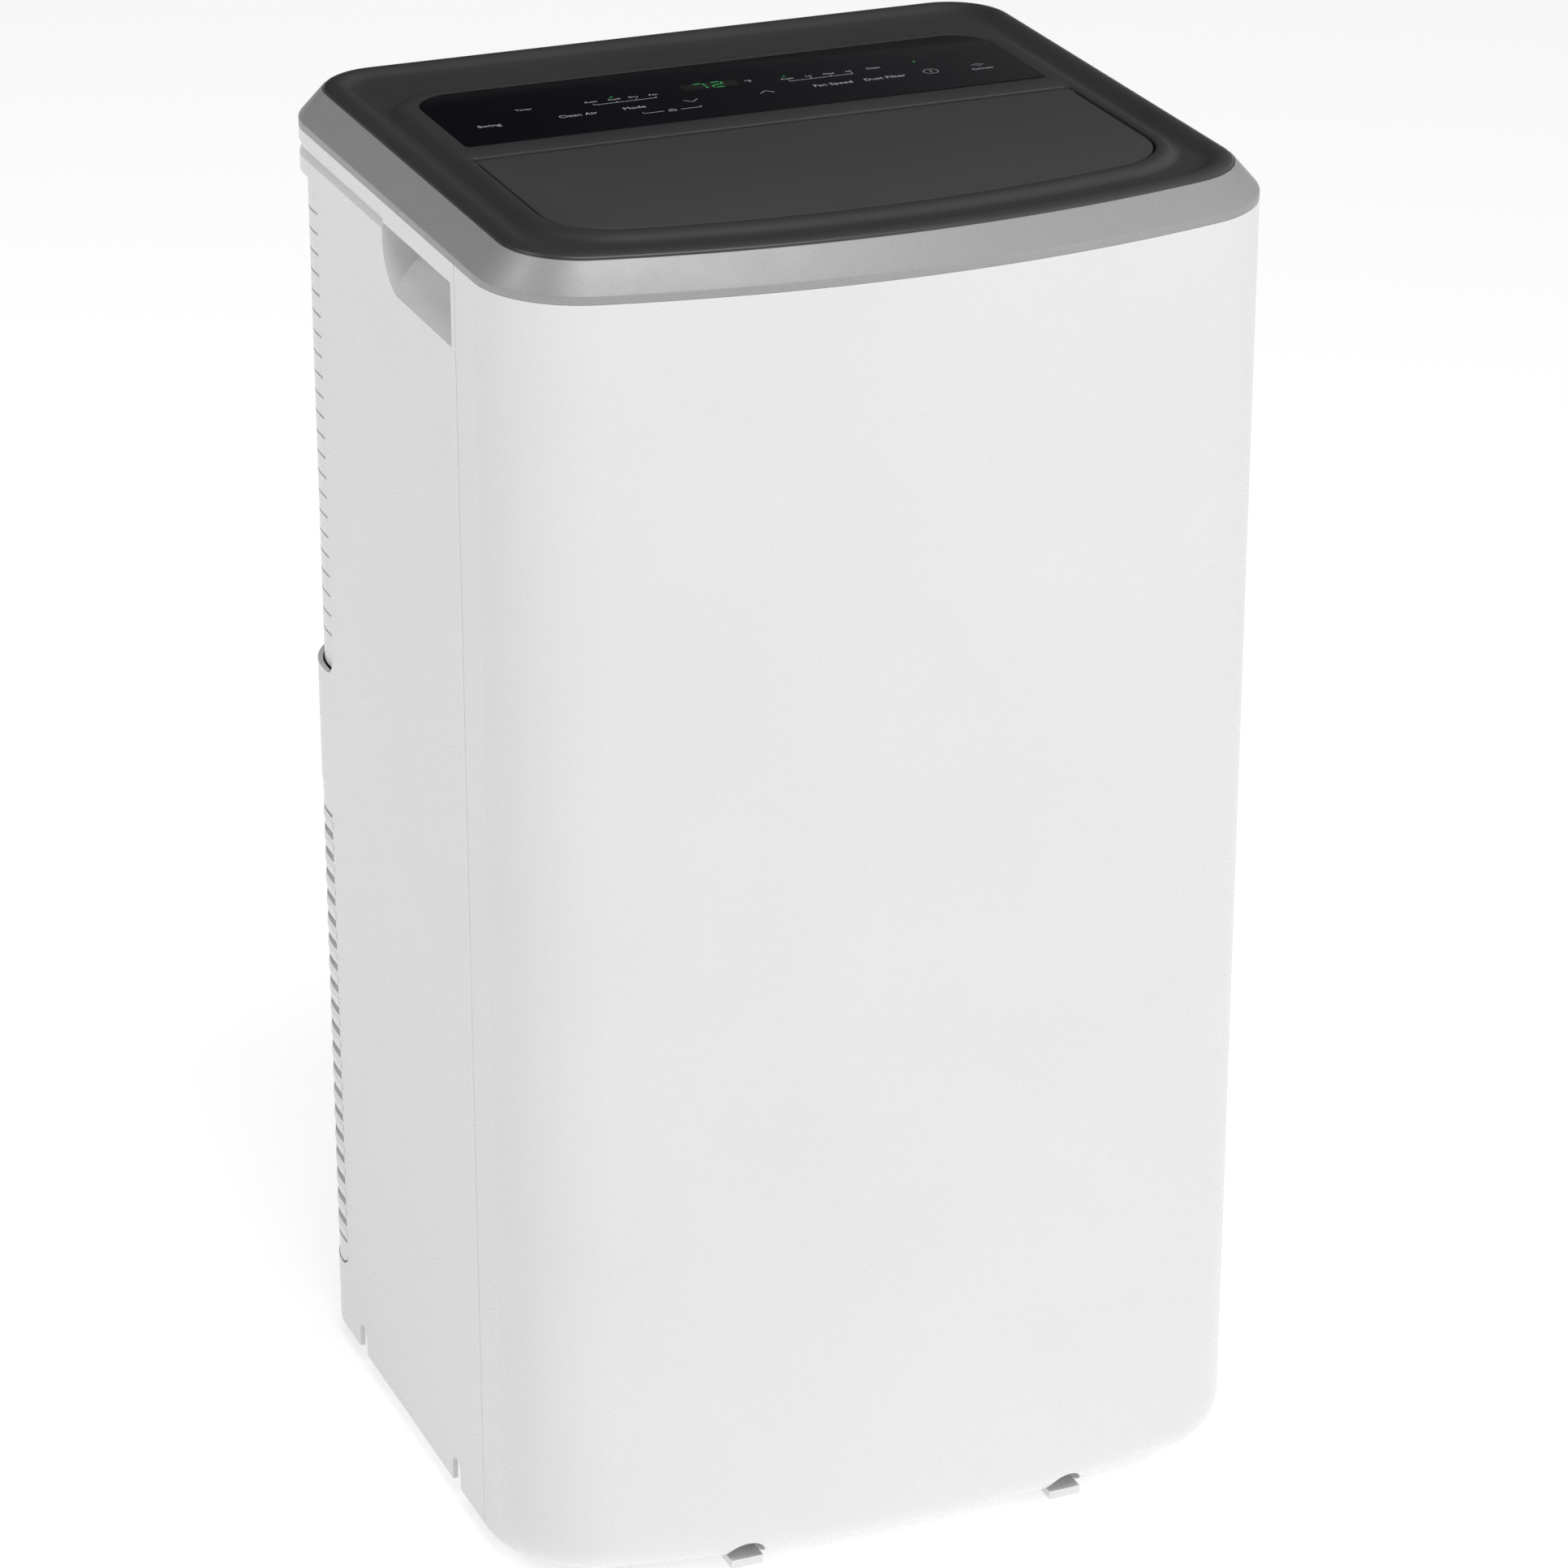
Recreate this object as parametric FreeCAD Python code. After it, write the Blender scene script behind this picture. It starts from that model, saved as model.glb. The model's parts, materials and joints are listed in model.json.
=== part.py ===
import FreeCAD, Part
import math
import os

Vec = FreeCAD.Vector

# Driving dimensions, in millimetres. X is left to right, -Y is the front and Z = 0 is the floor.

# Cabinet plan and heights
BODY_W = 440.0
BODY_D = 409.0
FLOOR_GAP = 14.0
BODY_H = 769.0
FRONT_CORNER_R = 60.0
REAR_CORNER_R = 50.0
FRONT_BOW_R = 730.0
WALL = 3.0
SEAM_Y = -95.0
SEAM_GAP = 0.5
FRONT_Y = -BODY_D / 2
REAR_Y = BODY_D / 2
SIDE_X = BODY_W / 2
TOP_Z = FLOOR_GAP + BODY_H

# Rolled lower edge of the front cover and its two arched notches
ROLL_H = 28.0
ROLL_DEPTH = 24.0
ROLL_STEPS = 5
LIP_INSET = 10.0
NOTCH_X = 98.0
NOTCH_R = 11.0
NOTCH_RISE = 4.0
TAB_GAP = 1.5

# Bezel ring round the top
RING_FACET_H = 4.4
RING_CHAMFER_H = 15.0
RING_CHAMFER_W = 13.1
RING_LIP_W = 0.7
PART_GAP = 0.3

# Top deck: a crest, a shallow gutter, and a lip round the glass and the outlet
CREST_RISE = 3.0
CREST_W = 12.0
DECK_T = 9.0
DECK_SKIRT_T = 3.0
GUTTER_DEPTH = 4.5
GUTTER_SLOPE_W = 9.0
LIP_SLOPE_W = 9.0
LIP_MARGIN = 4.0

# Outlet flap and its hinge
FLAP_W = 349.0
FLAP_FRONT_Y = -151.5
FLAP_REAR_Y = 5.0
FLAP_CORNER_R = 42.0
FLAP_BOW_R = 700.0
FLAP_T = 5.0
FLAP_GAP = 1.2
FLAP_REAR_GAP = 3.2
FLAP_SINK = 0.5
HINGE_SETBACK = 6.0
HINGE_PIN_R = 2.0
HINGE_PIN_L = 5.0
PIN_CLEARANCE = 0.05

# Control glass
GLASS_W = 340.0
GLASS_FRONT_Y = 24.0
GLASS_REAR_Y = 121.0
GLASS_REAR_R = 24.0
GLASS_FRONT_R = 3.0
GLASS_T = 3.0
GLASS_GAP = 0.25
GLASS_LEDGE = 12.0
BOARD_T = 1.6
BOARD_GAP = 1.0

# Outlet frame, deflector vanes and their link bar
FRAME_W = 326.0
FRAME_FRONT_Y = -120.0
FRAME_REAR_Y = -6.0
FRAME_WALL = 2.5
FRAME_H = 61.0
VANE_COUNT = 6
VANE_PITCH = 50.0
VANE_T = 2.0
VANE_UP = 8.0
VANE_DOWN = 20.0
VANE_PIVOT_DROP = 25.0
VANE_PIN_R = 1.5
VANE_CRANK = 14.0
VANE_REAR_GAP = 3.5
VANE_FRONT_GAP = 11.5
LINK_T = 3.0
LINK_GAP = 3.5
LINK_H = 14.0
LINK_SLOT_CLEARANCE = 0.45
SWING_MOTOR_R = 14.0
SWING_MOTOR_L = 18.0

# Handle scoops in the sides
HANDLE_FRONT_Y = -89.0
HANDLE_REAR_Y = 21.0
HANDLE_TOP_DROP = 31.0
HANDLE_H = 36.0
HANDLE_DEPTH = 26.0
HANDLE_RAMP = 20.0
HANDLE_REAR_R = 28.0
HANDLE_WALL = 2.5
GROOVE_DEPTH = 2.0
GROOVE_H = 8.0

# Half-round pockets in the lower edge of each side
POCKET_R = 6.5
POCKET_H = 17.0
POCKET_YS = (-48.0, 119.0)

# Upper intake: the removable filter panel that wraps both rear corners
UPPER_TOP_Z = 739.0
UPPER_BOTTOM_Z = 444.0
UPPER_SIDE_Y = 134.0
UPPER_INSET = 4.0
UPPER_PANEL_T = 2.5
UPPER_GAP = 1.0
UPPER_CORNER_R = 14.0
UPPER_SLOT_H = 3.5
UPPER_SLOT_PITCH = 12.0
UPPER_SLOT_W = 308.0
UPPER_GROOVE_H = 1.4
UPPER_GROOVE_DEPTH = 1.0
UPPER_BORDER = 7.0
UPPER_RIB_W = 6.0
FINGER_Z = (547.0, 624.0)
FINGER_DEPTH_X = 17.0
FINGER_DEPTH_Y = 26.0
FILTER_T = 3.5
FILTER_BAR = 6.0
FILTER_RIB = 2.5
INTAKE_INSET = 15.0
INTAKE_T = 2.5

# Lower intake: the scalloped grille on the rear left corner
LOWER_TOP_Z = 370.0
LOWER_BOTTOM_Z = 56.0
LOWER_SIDE_Y = 143.0
LOWER_END_X = -20.0
LOWER_INSET = 0.6
LOWER_T = 5.0
LOWER_GAP = 1.0
LOWER_RAIL = 16.0
LOWER_SLAT_COUNT = 20
LOWER_SLOT_H = 5.0
LOWER_STILE = 4.0

# Rear panel, exhaust collar, drains and cord inlet
SPLIT_X = 150.0
FLANGE_W = 16.0
COLLAR_X = 66.0
COLLAR_Z = 250.0
COLLAR_BORE_R = 64.0
COLLAR_T = 3.0
COLLAR_FLANGE_R = 76.0
COLLAR_FLANGE_T = 2.5
COLLAR_L = 52.0
DRAIN_X = 62.0
LOWER_DRAIN_Z = 92.0
UPPER_DRAIN_Z = 408.0
DRAIN_R = 8.0
DRAIN_WALL = 2.5
DRAIN_L = 24.0
PLUG_HEAD_R = 13.0
PLUG_HEAD_T = 4.0
GLAND_X = 120.0
GLAND_Z = 110.0
GLAND_BORE_R = 4.2
GLAND_R = 8.0
GLAND_FLANGE_R = 12.0
GLAND_FLANGE_T = 2.0
GLAND_L = 20.0
SCREW_R = 2.0
SCREW_HEAD_R = 4.0
SCREW_HEAD_H = 2.2
SCREW_L = 8.0
SCREW_ZS = (34.0, 392.0, 752.0)

# Base tray and casters
TRAY_TOP_Z = 65.0
TRAY_T = 3.0
TRAY_SKIRT_Z = 42.0
TRAY_INSET = 6.5
CASTER_X = 150.0
CASTER_YS = (-114.0, 130.0)
CASTER_TRAIL = 14.0
WHEEL_R = 20.0
WHEEL_W = 14.0
WHEEL_CROWN_GAP = 1.5
CROWN_R = 17.0
CROWN_T = 3.0
FORK_T = 3.0
FORK_GAP = 1.0
AXLE_R = 3.0
STEM_R = 5.0
CASTER_BOSS_R = 15.0
SWIVEL_GAP = 0.5

# Lower compartment
COMPRESSOR_X = -105.0
COMPRESSOR_Y = -20.0
COMPRESSOR_R = 70.0
COMPRESSOR_H = 245.0
GROMMET_R = 11.0
GROMMET_H = 18.0
FOOT_PCD = 170.0
FOOT_T = 4.0
STUD_R = 4.0
ACCUMULATOR_R = 24.0
ACCUMULATOR_H = 180.0
ACCUMULATOR_Z = 130.0
CONDENSER_W = 170.0
CONDENSER_T = 34.0
CONDENSER_H = 270.0
CONDENSER_X = -109.0
CONDENSER_Y = 168.0
FAN_CASE_R = 86.0
FAN_CASE_FRONT_Y = 45.0
FAN_CASE_T = 2.0
FAN_INLET_R = 58.0
CONDENSER_WHEEL_R = 74.0
CONDENSER_WHEEL_W = 56.0
CONDENSER_MOTOR_R = 38.0
CONDENSER_MOTOR_L = 56.0
CONDENSER_SHAFT_L = 44.0
MOTOR_GAP = 14.0
MOTOR_EDGE_R = 5.0
SPLASH_X = 22.0
SPLASH_Z = 94.0
SPLASH_WHEEL_R = 22.0
SPLASH_HUB_R = 6.0
SPLASH_HUB_L = 14.0
SPLASH_PADDLES = 6
SPLASH_MOTOR_Y = 96.0
SPLASH_MOTOR_L = 30.0
SPLASH_MOTOR_R = 14.0
SPLASH_SHAFT_L = 16.0
FLOAT_X = 60.0
FLOAT_Y = 60.0
FLOAT_R = 12.0
FLOAT_STEM_R = 4.0
FLOAT_STEM_H = 30.0

# Upper compartment
PAN_Z = 400.0
PAN_T = 3.0
PAN_RIM_H = 16.0
EVAPORATOR_W = 340.0
EVAPORATOR_T = 36.0
EVAPORATOR_H = 265.0
EVAPORATOR_Y = 158.0
EVAPORATOR_Z = 452.0
VOLUTE_Z = 560.0
VOLUTE_R = 118.0
VOLUTE_FRONT_Y = -112.0
VOLUTE_REAR_Y = -14.0
VOLUTE_T = 2.5
VOLUTE_INLET_R = 68.0
VOLUTE_NECK_W = 190.0
VOLUTE_NECK_Z = 610.0
EVAPORATOR_WHEEL_R = 92.0
EVAPORATOR_WHEEL_W = 72.0
EVAPORATOR_MOTOR_R = 42.0
EVAPORATOR_MOTOR_L = 50.0
EVAPORATOR_SHAFT_L = 28.0
EVAPORATOR_WHEEL_GAP = 12.0
SHAFT_R = 4.0
COIL_TUBE_R = 4.0
COIL_ROWS = 9
PIPE_R = 4.5
RISER_X = 196.0
RUN_Y = 118.0
RISER_BEND_R = 8.0
DISCHARGE_BEND_R = 16.0
BOX_X = (168.0, 206.0)
BOX_Y = (-70.0, 60.0)
BOX_Z = (470.0, 680.0)
BOX_WALL = 2.0
CAPACITOR_X = 187.0
CAPACITOR_Y = 90.0
CAPACITOR_R = 19.0
CAPACITOR_H = 70.0
BLADE_COUNT = 24
BLADE_T = 1.6
BLADE_DEPTH = 16.0
BLADE_TURN = 28.0
WHEEL_PLATE_T = 2.0
WHEEL_HUB_R = 12.0
WHEEL_HUB_L = 26.0

# Values worked out from the sizes above
RING_BOTTOM_Z = TOP_Z - RING_CHAMFER_H - RING_FACET_H
CREST_Z = TOP_Z + CREST_RISE
DECK_INSET = RING_CHAMFER_W + RING_LIP_W + PART_GAP
DECK_BOTTOM_Z = CREST_Z - DECK_T
FLAP_TOP_Z = CREST_Z - FLAP_SINK
HINGE_Z = FLAP_TOP_Z - FLAP_T / 2
HINGE_Y = FLAP_REAR_Y - HINGE_SETBACK
VANE_PIVOT_Z = DECK_BOTTOM_Z - VANE_PIVOT_DROP
FRAME_BOTTOM_Z = DECK_BOTTOM_Z - FRAME_H
HANDLE_TOP_Z = TOP_Z - HANDLE_TOP_DROP
HANDLE_BOTTOM_Z = HANDLE_TOP_Z - HANDLE_H
CROWN_Z = 2 * WHEEL_R + WHEEL_CROWN_GAP


def outline(half_w, front_y, rear_y, front_r, rear_r, bow_r, z):
    """Closed wire of a plan shape with round corners and a bowed front edge."""
    bow_c = front_y + bow_r
    corner_x = half_w - front_r
    corner_y = bow_c - math.sqrt((bow_r - front_r) ** 2 - corner_x ** 2)
    ux = corner_x / (bow_r - front_r)
    uy = (corner_y - bow_c) / (bow_r - front_r)
    tangent = (ux * bow_r, bow_c + uy * bow_r)
    half = math.hypot(ux + 1, uy)
    front_mid = (corner_x + front_r * (ux + 1) / half, corner_y + front_r * uy / half)
    rear_x = half_w - rear_r
    rear_c = rear_y - rear_r
    rear_mid = (rear_x + rear_r * math.sqrt(0.5), rear_c + rear_r * math.sqrt(0.5))

    def at(point, side=1):
        return Vec(side * point[0], point[1], z)

    edges = [
        Part.Arc(at(tangent, -1), Vec(0, front_y, z), at(tangent)).toShape(),
        Part.Arc(at(tangent), at(front_mid), at((half_w, corner_y))).toShape(),
        Part.makeLine(at((half_w, corner_y)), at((half_w, rear_c))),
        Part.Arc(at((half_w, rear_c)), at(rear_mid), at((rear_x, rear_y))).toShape(),
        Part.makeLine(at((rear_x, rear_y)), at((rear_x, rear_y), -1)),
        Part.Arc(at((rear_x, rear_y), -1), at(rear_mid, -1), at((half_w, rear_c), -1)).toShape(),
        Part.makeLine(at((half_w, rear_c), -1), at((half_w, corner_y), -1)),
        Part.Arc(at((half_w, corner_y), -1), at(front_mid, -1), at(tangent, -1)).toShape(),
    ]
    return Part.Wire(edges)


def plan(inset, z):
    """The cabinet's outline at height z, moved inwards."""
    return outline(SIDE_X - inset, FRONT_Y + inset, REAR_Y - inset, FRONT_CORNER_R - inset,
                   REAR_CORNER_R - inset, FRONT_BOW_R - inset, z)


def prism(wire, height):
    return Part.Face(wire).extrude(Vec(0, 0, height))


def loft(*wires):
    return Part.makeLoft(list(wires), True, True)


def box(x0, x1, y0, y1, z0, z1):
    return Part.makeBox(x1 - x0, y1 - y0, z1 - z0, Vec(x0, y0, z0))


def cylinder(x, y, z, radius, length, direction):
    return Part.makeCylinder(radius, length, Vec(x, y, z), direction)


def along_y(x, y0, y1, z, radius):
    return cylinder(x, y0, z, radius, y1 - y0, Vec(0, 1, 0))


def along_x(x0, x1, y, z, radius):
    return cylinder(x0, y, z, radius, x1 - x0, Vec(1, 0, 0))


def upright(x, y, z0, z1, radius):
    return cylinder(x, y, z0, radius, z1 - z0, Vec(0, 0, 1))


def mirrored(shape):
    return shape.mirror(Vec(0, 0, 0), Vec(1, 0, 0))


def fillet_where(shape, radius, test):
    """Round the edges whose midpoint and direction pass the test."""
    chosen = []
    for edge in shape.Edges:
        if len(edge.Vertexes) < 2:
            continue
        step = edge.Vertexes[1].Point - edge.Vertexes[0].Point
        if test(edge.CenterOfMass, step):
            chosen.append(edge)
    return shape.makeFillet(radius, chosen)


def runs_along(step, axis):
    values = [abs(step.x), abs(step.y), abs(step.z)]
    return values[axis] > 0.99 * step.Length


def band(outer, inner, z0, z1):
    """A wall between two insets of the cabinet's outline."""
    return prism(plan(outer, z0), z1 - z0).cut(prism(plan(inner, z0 - 1), z1 - z0 + 2))


# Outer shell

def roll_wire(drop, extra, z):
    """Outline of the front cover where its lower edge rolls in by drop."""
    radius = FRONT_CORNER_R + drop * 0.2 - extra
    return outline(SIDE_X - extra, FRONT_Y + drop + extra, REAR_Y - extra, radius,
                   REAR_CORNER_R - extra, FRONT_BOW_R - extra, z)


def rolled_body(extra, floor_z):
    wires = []
    for k in range(ROLL_STEPS + 1):
        angle = math.pi / 2 * k / ROLL_STEPS
        z = floor_z + (ROLL_H - floor_z + FLOOR_GAP) * (1 - math.cos(angle))
        wires.append(roll_wire(ROLL_DEPTH * (1 - math.sin(angle)), extra, z))
    lower = Part.makeLoft(wires, True, False)
    upper = prism(plan(extra, FLOOR_GAP + ROLL_H), RING_BOTTOM_Z - FLOOR_GAP - ROLL_H)
    return lower.fuse(upper)


def front_half():
    return box(-SIDE_X - 10, SIDE_X + 10, FRONT_Y - 10, SEAM_Y - SEAM_GAP / 2, 0, TOP_Z)


def make_front_cover():
    shell = rolled_body(0, FLOOR_GAP).cut(rolled_body(WALL, FLOOR_GAP + WALL))
    mouth = prism(roll_wire(ROLL_DEPTH, LIP_INSET, FLOOR_GAP - 5), 20)
    shell = shell.common(front_half()).cut(mouth)
    cuts = []
    for x in (-NOTCH_X, NOTCH_X):
        arch_z = FLOOR_GAP + NOTCH_RISE
        cuts.append(box(x - NOTCH_R, x + NOTCH_R, FRONT_Y - 1, SEAM_Y - 40, 0, arch_z))
        cuts.append(along_y(x, FRONT_Y - 1, SEAM_Y - 40, arch_z, NOTCH_R))
    return shell.cut(cuts)


def groove_tool():
    """Ring that leaves a V-groove below the band at the top of the sides."""
    low = HANDLE_TOP_Z - GROOVE_H / 2
    mid = HANDLE_TOP_Z
    high = HANDLE_TOP_Z + GROOVE_H / 2
    blank = prism(plan(-2, low), GROOVE_H)
    keep = loft(plan(0, low), plan(GROOVE_DEPTH, mid)).fuse(loft(plan(GROOVE_DEPTH, mid), plan(0, high)))
    ring = blank.cut(keep)
    return ring.common(box(-SIDE_X - 5, SIDE_X + 5, HANDLE_REAR_Y - 2, REAR_Y + 5, low, high))


def upper_window(gap):
    """Volume of the upper intake, from both sides round the rear; gap shrinks it."""
    block = box(-SIDE_X - 5, SIDE_X + 5, UPPER_SIDE_Y + gap, REAR_Y + 5,
                UPPER_BOTTOM_Z + gap, UPPER_TOP_Z - gap)
    return fillet_where(block, UPPER_CORNER_R,
                        lambda mid, step: runs_along(step, 0) and mid.y < REAR_Y)


def lower_window(gap):
    """Volume of the lower intake, round the rear left corner; gap shrinks it."""
    block = box(-SIDE_X - 5, LOWER_END_X - gap, LOWER_SIDE_Y + gap, REAR_Y + 5,
                LOWER_BOTTOM_Z + gap, LOWER_TOP_Z - gap)
    block = fillet_where(block, UPPER_CORNER_R,
                         lambda mid, step: runs_along(step, 0) and mid.y < REAR_Y)
    return fillet_where(block, UPPER_CORNER_R,
                        lambda mid, step: runs_along(step, 1) and mid.x > -SIDE_X)


def scoop(grow):
    """Wedge-shaped hand hold on the left side; grow adds a wall round it."""
    x0 = -SIDE_X - 1
    x1 = -SIDE_X + HANDLE_DEPTH + grow
    z0 = HANDLE_BOTTOM_Z - grow
    z1 = HANDLE_TOP_Z + grow
    ramp = z0 + HANDLE_RAMP
    corners = [Vec(x0, 0, z0), Vec(x1, 0, ramp), Vec(x1, 0, z1), Vec(x0, 0, z1)]
    face = Part.Face(Part.makePolygon(corners + [corners[0]]))
    length = HANDLE_REAR_Y - HANDLE_FRONT_Y + 2 * grow
    wedge = face.extrude(Vec(0, length, 0))
    wedge.translate(Vec(0, HANDLE_FRONT_Y - grow, 0))
    round_end = box(x0 - 5, x1 + 5, HANDLE_FRONT_Y - grow - 1, HANDLE_REAR_Y + grow, z0, z1)
    round_end = fillet_where(round_end, HANDLE_REAR_R + grow,
                             lambda mid, step: runs_along(step, 0) and mid.y > 0 and mid.z < z1 - 1)
    return wedge.common(round_end)


def make_side_panel():
    """Left side with its rear corner, scoop, groove, intake cut-outs and screw flange."""
    shell = band(0, WALL, FLOOR_GAP, RING_BOTTOM_Z)
    region = box(-SIDE_X - 5, -SPLIT_X - SEAM_GAP / 2, SEAM_Y + SEAM_GAP / 2, REAR_Y + 5, 0, TOP_Z)
    shell = shell.common(region)
    flange = box(-SPLIT_X - 12, -SPLIT_X + FLANGE_W, REAR_Y - 2 * WALL, REAR_Y - WALL,
                 FLOOR_GAP, RING_BOTTOM_Z)
    grown = scoop(HANDLE_WALL).common(prism(plan(WALL / 2, 0), TOP_Z))
    panel = shell.fuse([flange, grown])
    cuts = [scoop(0), groove_tool(), upper_window(0)]
    for y in POCKET_YS:
        arch_z = FLOOR_GAP + POCKET_H - POCKET_R
        cuts.append(box(-SIDE_X - 5, -SIDE_X + 10, y - POCKET_R, y + POCKET_R, 0, arch_z))
        cuts.append(along_x(-SIDE_X - 5, -SIDE_X + 10, y, arch_z, POCKET_R))
    for z in SCREW_ZS:
        cuts.append(along_y(-SPLIT_X + FLANGE_W / 2, REAR_Y - 30, REAR_Y + 5, z, SCREW_R))
    return panel.cut(cuts)


def screw_holes():
    holes = []
    for x in (-SPLIT_X + FLANGE_W / 2, SPLIT_X - FLANGE_W / 2):
        for z in SCREW_ZS:
            holes.append(along_y(x, REAR_Y - 30, REAR_Y + 5, z, SCREW_R))
            holes.append(along_y(x, REAR_Y - SCREW_HEAD_H, REAR_Y + 5, z, SCREW_HEAD_R))
    return holes


def make_rear_panel():
    slab = box(-SPLIT_X + SEAM_GAP / 2, SPLIT_X - SEAM_GAP / 2, REAR_Y - WALL, REAR_Y,
               FLOOR_GAP, RING_BOTTOM_Z)
    cuts = [upper_window(0), lower_window(0), groove_tool()]
    cuts.append(along_y(COLLAR_X, REAR_Y - 10, REAR_Y + 5, COLLAR_Z, COLLAR_BORE_R + COLLAR_T))
    cuts.append(along_y(COLLAR_X, REAR_Y - COLLAR_FLANGE_T, REAR_Y + 5, COLLAR_Z, COLLAR_FLANGE_R))
    for z in (LOWER_DRAIN_Z, UPPER_DRAIN_Z):
        cuts.append(along_y(DRAIN_X, REAR_Y - 10, REAR_Y + 5, z, DRAIN_R + DRAIN_WALL))
        cuts.append(along_y(DRAIN_X, REAR_Y - PLUG_HEAD_T * 0.6, REAR_Y + 5, z, PLUG_HEAD_R + 1))
    cuts.append(along_y(GLAND_X, REAR_Y - 10, REAR_Y + 5, GLAND_Z, GLAND_R))
    cuts.append(along_y(GLAND_X, REAR_Y - GLAND_FLANGE_T, REAR_Y + 5, GLAND_Z, GLAND_FLANGE_R))
    cuts.append(box(-SPLIT_X, SPLIT_X, REAR_Y - 10, REAR_Y + 5, UPPER_TOP_Z - 1, TOP_Z))
    return slab.cut(cuts + screw_holes())


def make_rear_screws():
    screws = []
    for x in (-SPLIT_X + FLANGE_W / 2, SPLIT_X - FLANGE_W / 2):
        for z in SCREW_ZS:
            head = along_y(x, REAR_Y - SCREW_HEAD_H, REAR_Y, z, SCREW_HEAD_R)
            shank = along_y(x, REAR_Y - SCREW_L, REAR_Y - SCREW_HEAD_H, z, SCREW_R)
            slot_a = box(x - 2.4, x + 2.4, REAR_Y - 1, REAR_Y + 1, z - 0.5, z + 0.5)
            slot_b = box(x - 0.5, x + 0.5, REAR_Y - 1, REAR_Y + 1, z - 2.4, z + 2.4)
            screws.append(head.fuse(shank).cut([slot_a, slot_b]))
    return Part.makeCompound(screws)


def make_bezel_ring():
    facet = prism(plan(0, RING_BOTTOM_Z), RING_FACET_H)
    chamfer = loft(plan(0, RING_BOTTOM_Z + RING_FACET_H), plan(RING_CHAMFER_W, TOP_Z))
    bore = prism(plan(RING_CHAMFER_W + RING_LIP_W, RING_BOTTOM_Z - 1), BODY_H)
    return facet.fuse(chamfer).cut(bore).removeSplitter()


# Top deck, glass and flap

def opening(grow, z):
    """Outline of the flap opening in the deck."""
    return outline(FLAP_W / 2 + grow, FLAP_FRONT_Y - grow, FLAP_REAR_Y + grow,
                   FLAP_CORNER_R + grow, 3.0 + grow, FLAP_BOW_R + grow, z)


def glass_outline(grow, z):
    half_w = GLASS_W / 2 + grow
    x_front = half_w - GLASS_FRONT_R
    x_rear = half_w - GLASS_REAR_R
    y0 = GLASS_FRONT_Y - grow
    y1 = GLASS_REAR_Y + grow
    diagonal = math.sqrt(0.5)

    def corner(cx, cy, radius, start):
        angles = [start, start + math.pi / 4, start + math.pi / 2]
        points = [Vec(cx + radius * math.cos(a), cy + radius * math.sin(a), z) for a in angles]
        return Part.Arc(*points).toShape()

    arcs = [
        corner(x_rear, y1 - GLASS_REAR_R, GLASS_REAR_R, 0),
        corner(-x_rear, y1 - GLASS_REAR_R, GLASS_REAR_R, math.pi / 2),
        corner(-x_front, y0 + GLASS_FRONT_R, GLASS_FRONT_R, math.pi),
        corner(x_front, y0 + GLASS_FRONT_R, GLASS_FRONT_R, 1.5 * math.pi),
    ]
    edges = []
    for arc, following in zip(arcs, arcs[1:] + arcs[:1]):
        edges.append(arc)
        edges.append(Part.makeLine(arc.Vertexes[-1].Point, following.Vertexes[0].Point))
    return Part.Wire(edges)


def lip_outline(grow, z):
    """Outline of the level field that holds the flap and the glass."""
    return outline(FLAP_W / 2 + LIP_MARGIN + grow, FLAP_FRONT_Y - LIP_MARGIN - grow,
                   GLASS_REAR_Y + LIP_MARGIN + grow, FLAP_CORNER_R + LIP_MARGIN + grow,
                   GLASS_REAR_R + LIP_MARGIN + grow, FLAP_BOW_R + grow, z)


def make_top_deck():
    crest_inset = DECK_INSET + CREST_W
    gutter_z = CREST_Z - GUTTER_DEPTH
    skirt = band(DECK_INSET, DECK_INSET + DECK_SKIRT_T, RING_BOTTOM_Z, DECK_BOTTOM_Z)
    plate = prism(plan(DECK_INSET, DECK_BOTTOM_Z), TOP_Z - DECK_BOTTOM_Z)
    crown = loft(plan(DECK_INSET, TOP_Z), plan(crest_inset, CREST_Z))
    moat = loft(plan(crest_inset, CREST_Z), plan(crest_inset + GUTTER_SLOPE_W, gutter_z))
    island = loft(lip_outline(LIP_SLOPE_W, gutter_z), lip_outline(0, CREST_Z))
    deck = plate.fuse([skirt, crown]).removeSplitter()
    deck = deck.cut(moat.cut(island))
    pocket = prism(glass_outline(GLASS_GAP, CREST_Z - GLASS_T), GLASS_T + 1)
    window = prism(glass_outline(-GLASS_LEDGE, DECK_BOTTOM_Z - 1), DECK_T)
    mouth = prism(opening(0, DECK_BOTTOM_Z - 1), DECK_T + 2)
    pins = along_x(-FLAP_W / 2 - HINGE_PIN_L, FLAP_W / 2 + HINGE_PIN_L, HINGE_Y, HINGE_Z,
                   HINGE_PIN_R + PIN_CLEARANCE)
    return deck.cut([pocket, window, mouth, pins])


def make_outlet_flap():
    plate = prism(opening(-FLAP_GAP, FLAP_TOP_Z - FLAP_T), FLAP_T)
    rear_limit = FLAP_REAR_Y - FLAP_REAR_GAP
    plate = plate.cut(box(-SIDE_X, SIDE_X, rear_limit, rear_limit + 20, 0, TOP_Z + 20))
    end = FLAP_W / 2 + HINGE_PIN_L - 0.5
    pins = [along_x(-end, -end + 10, HINGE_Y, HINGE_Z, HINGE_PIN_R),
            along_x(end - 10, end, HINGE_Y, HINGE_Z, HINGE_PIN_R)]
    return plate.fuse(pins)


def make_control_glass():
    return prism(glass_outline(0, CREST_Z - GLASS_T), GLASS_T)


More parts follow.
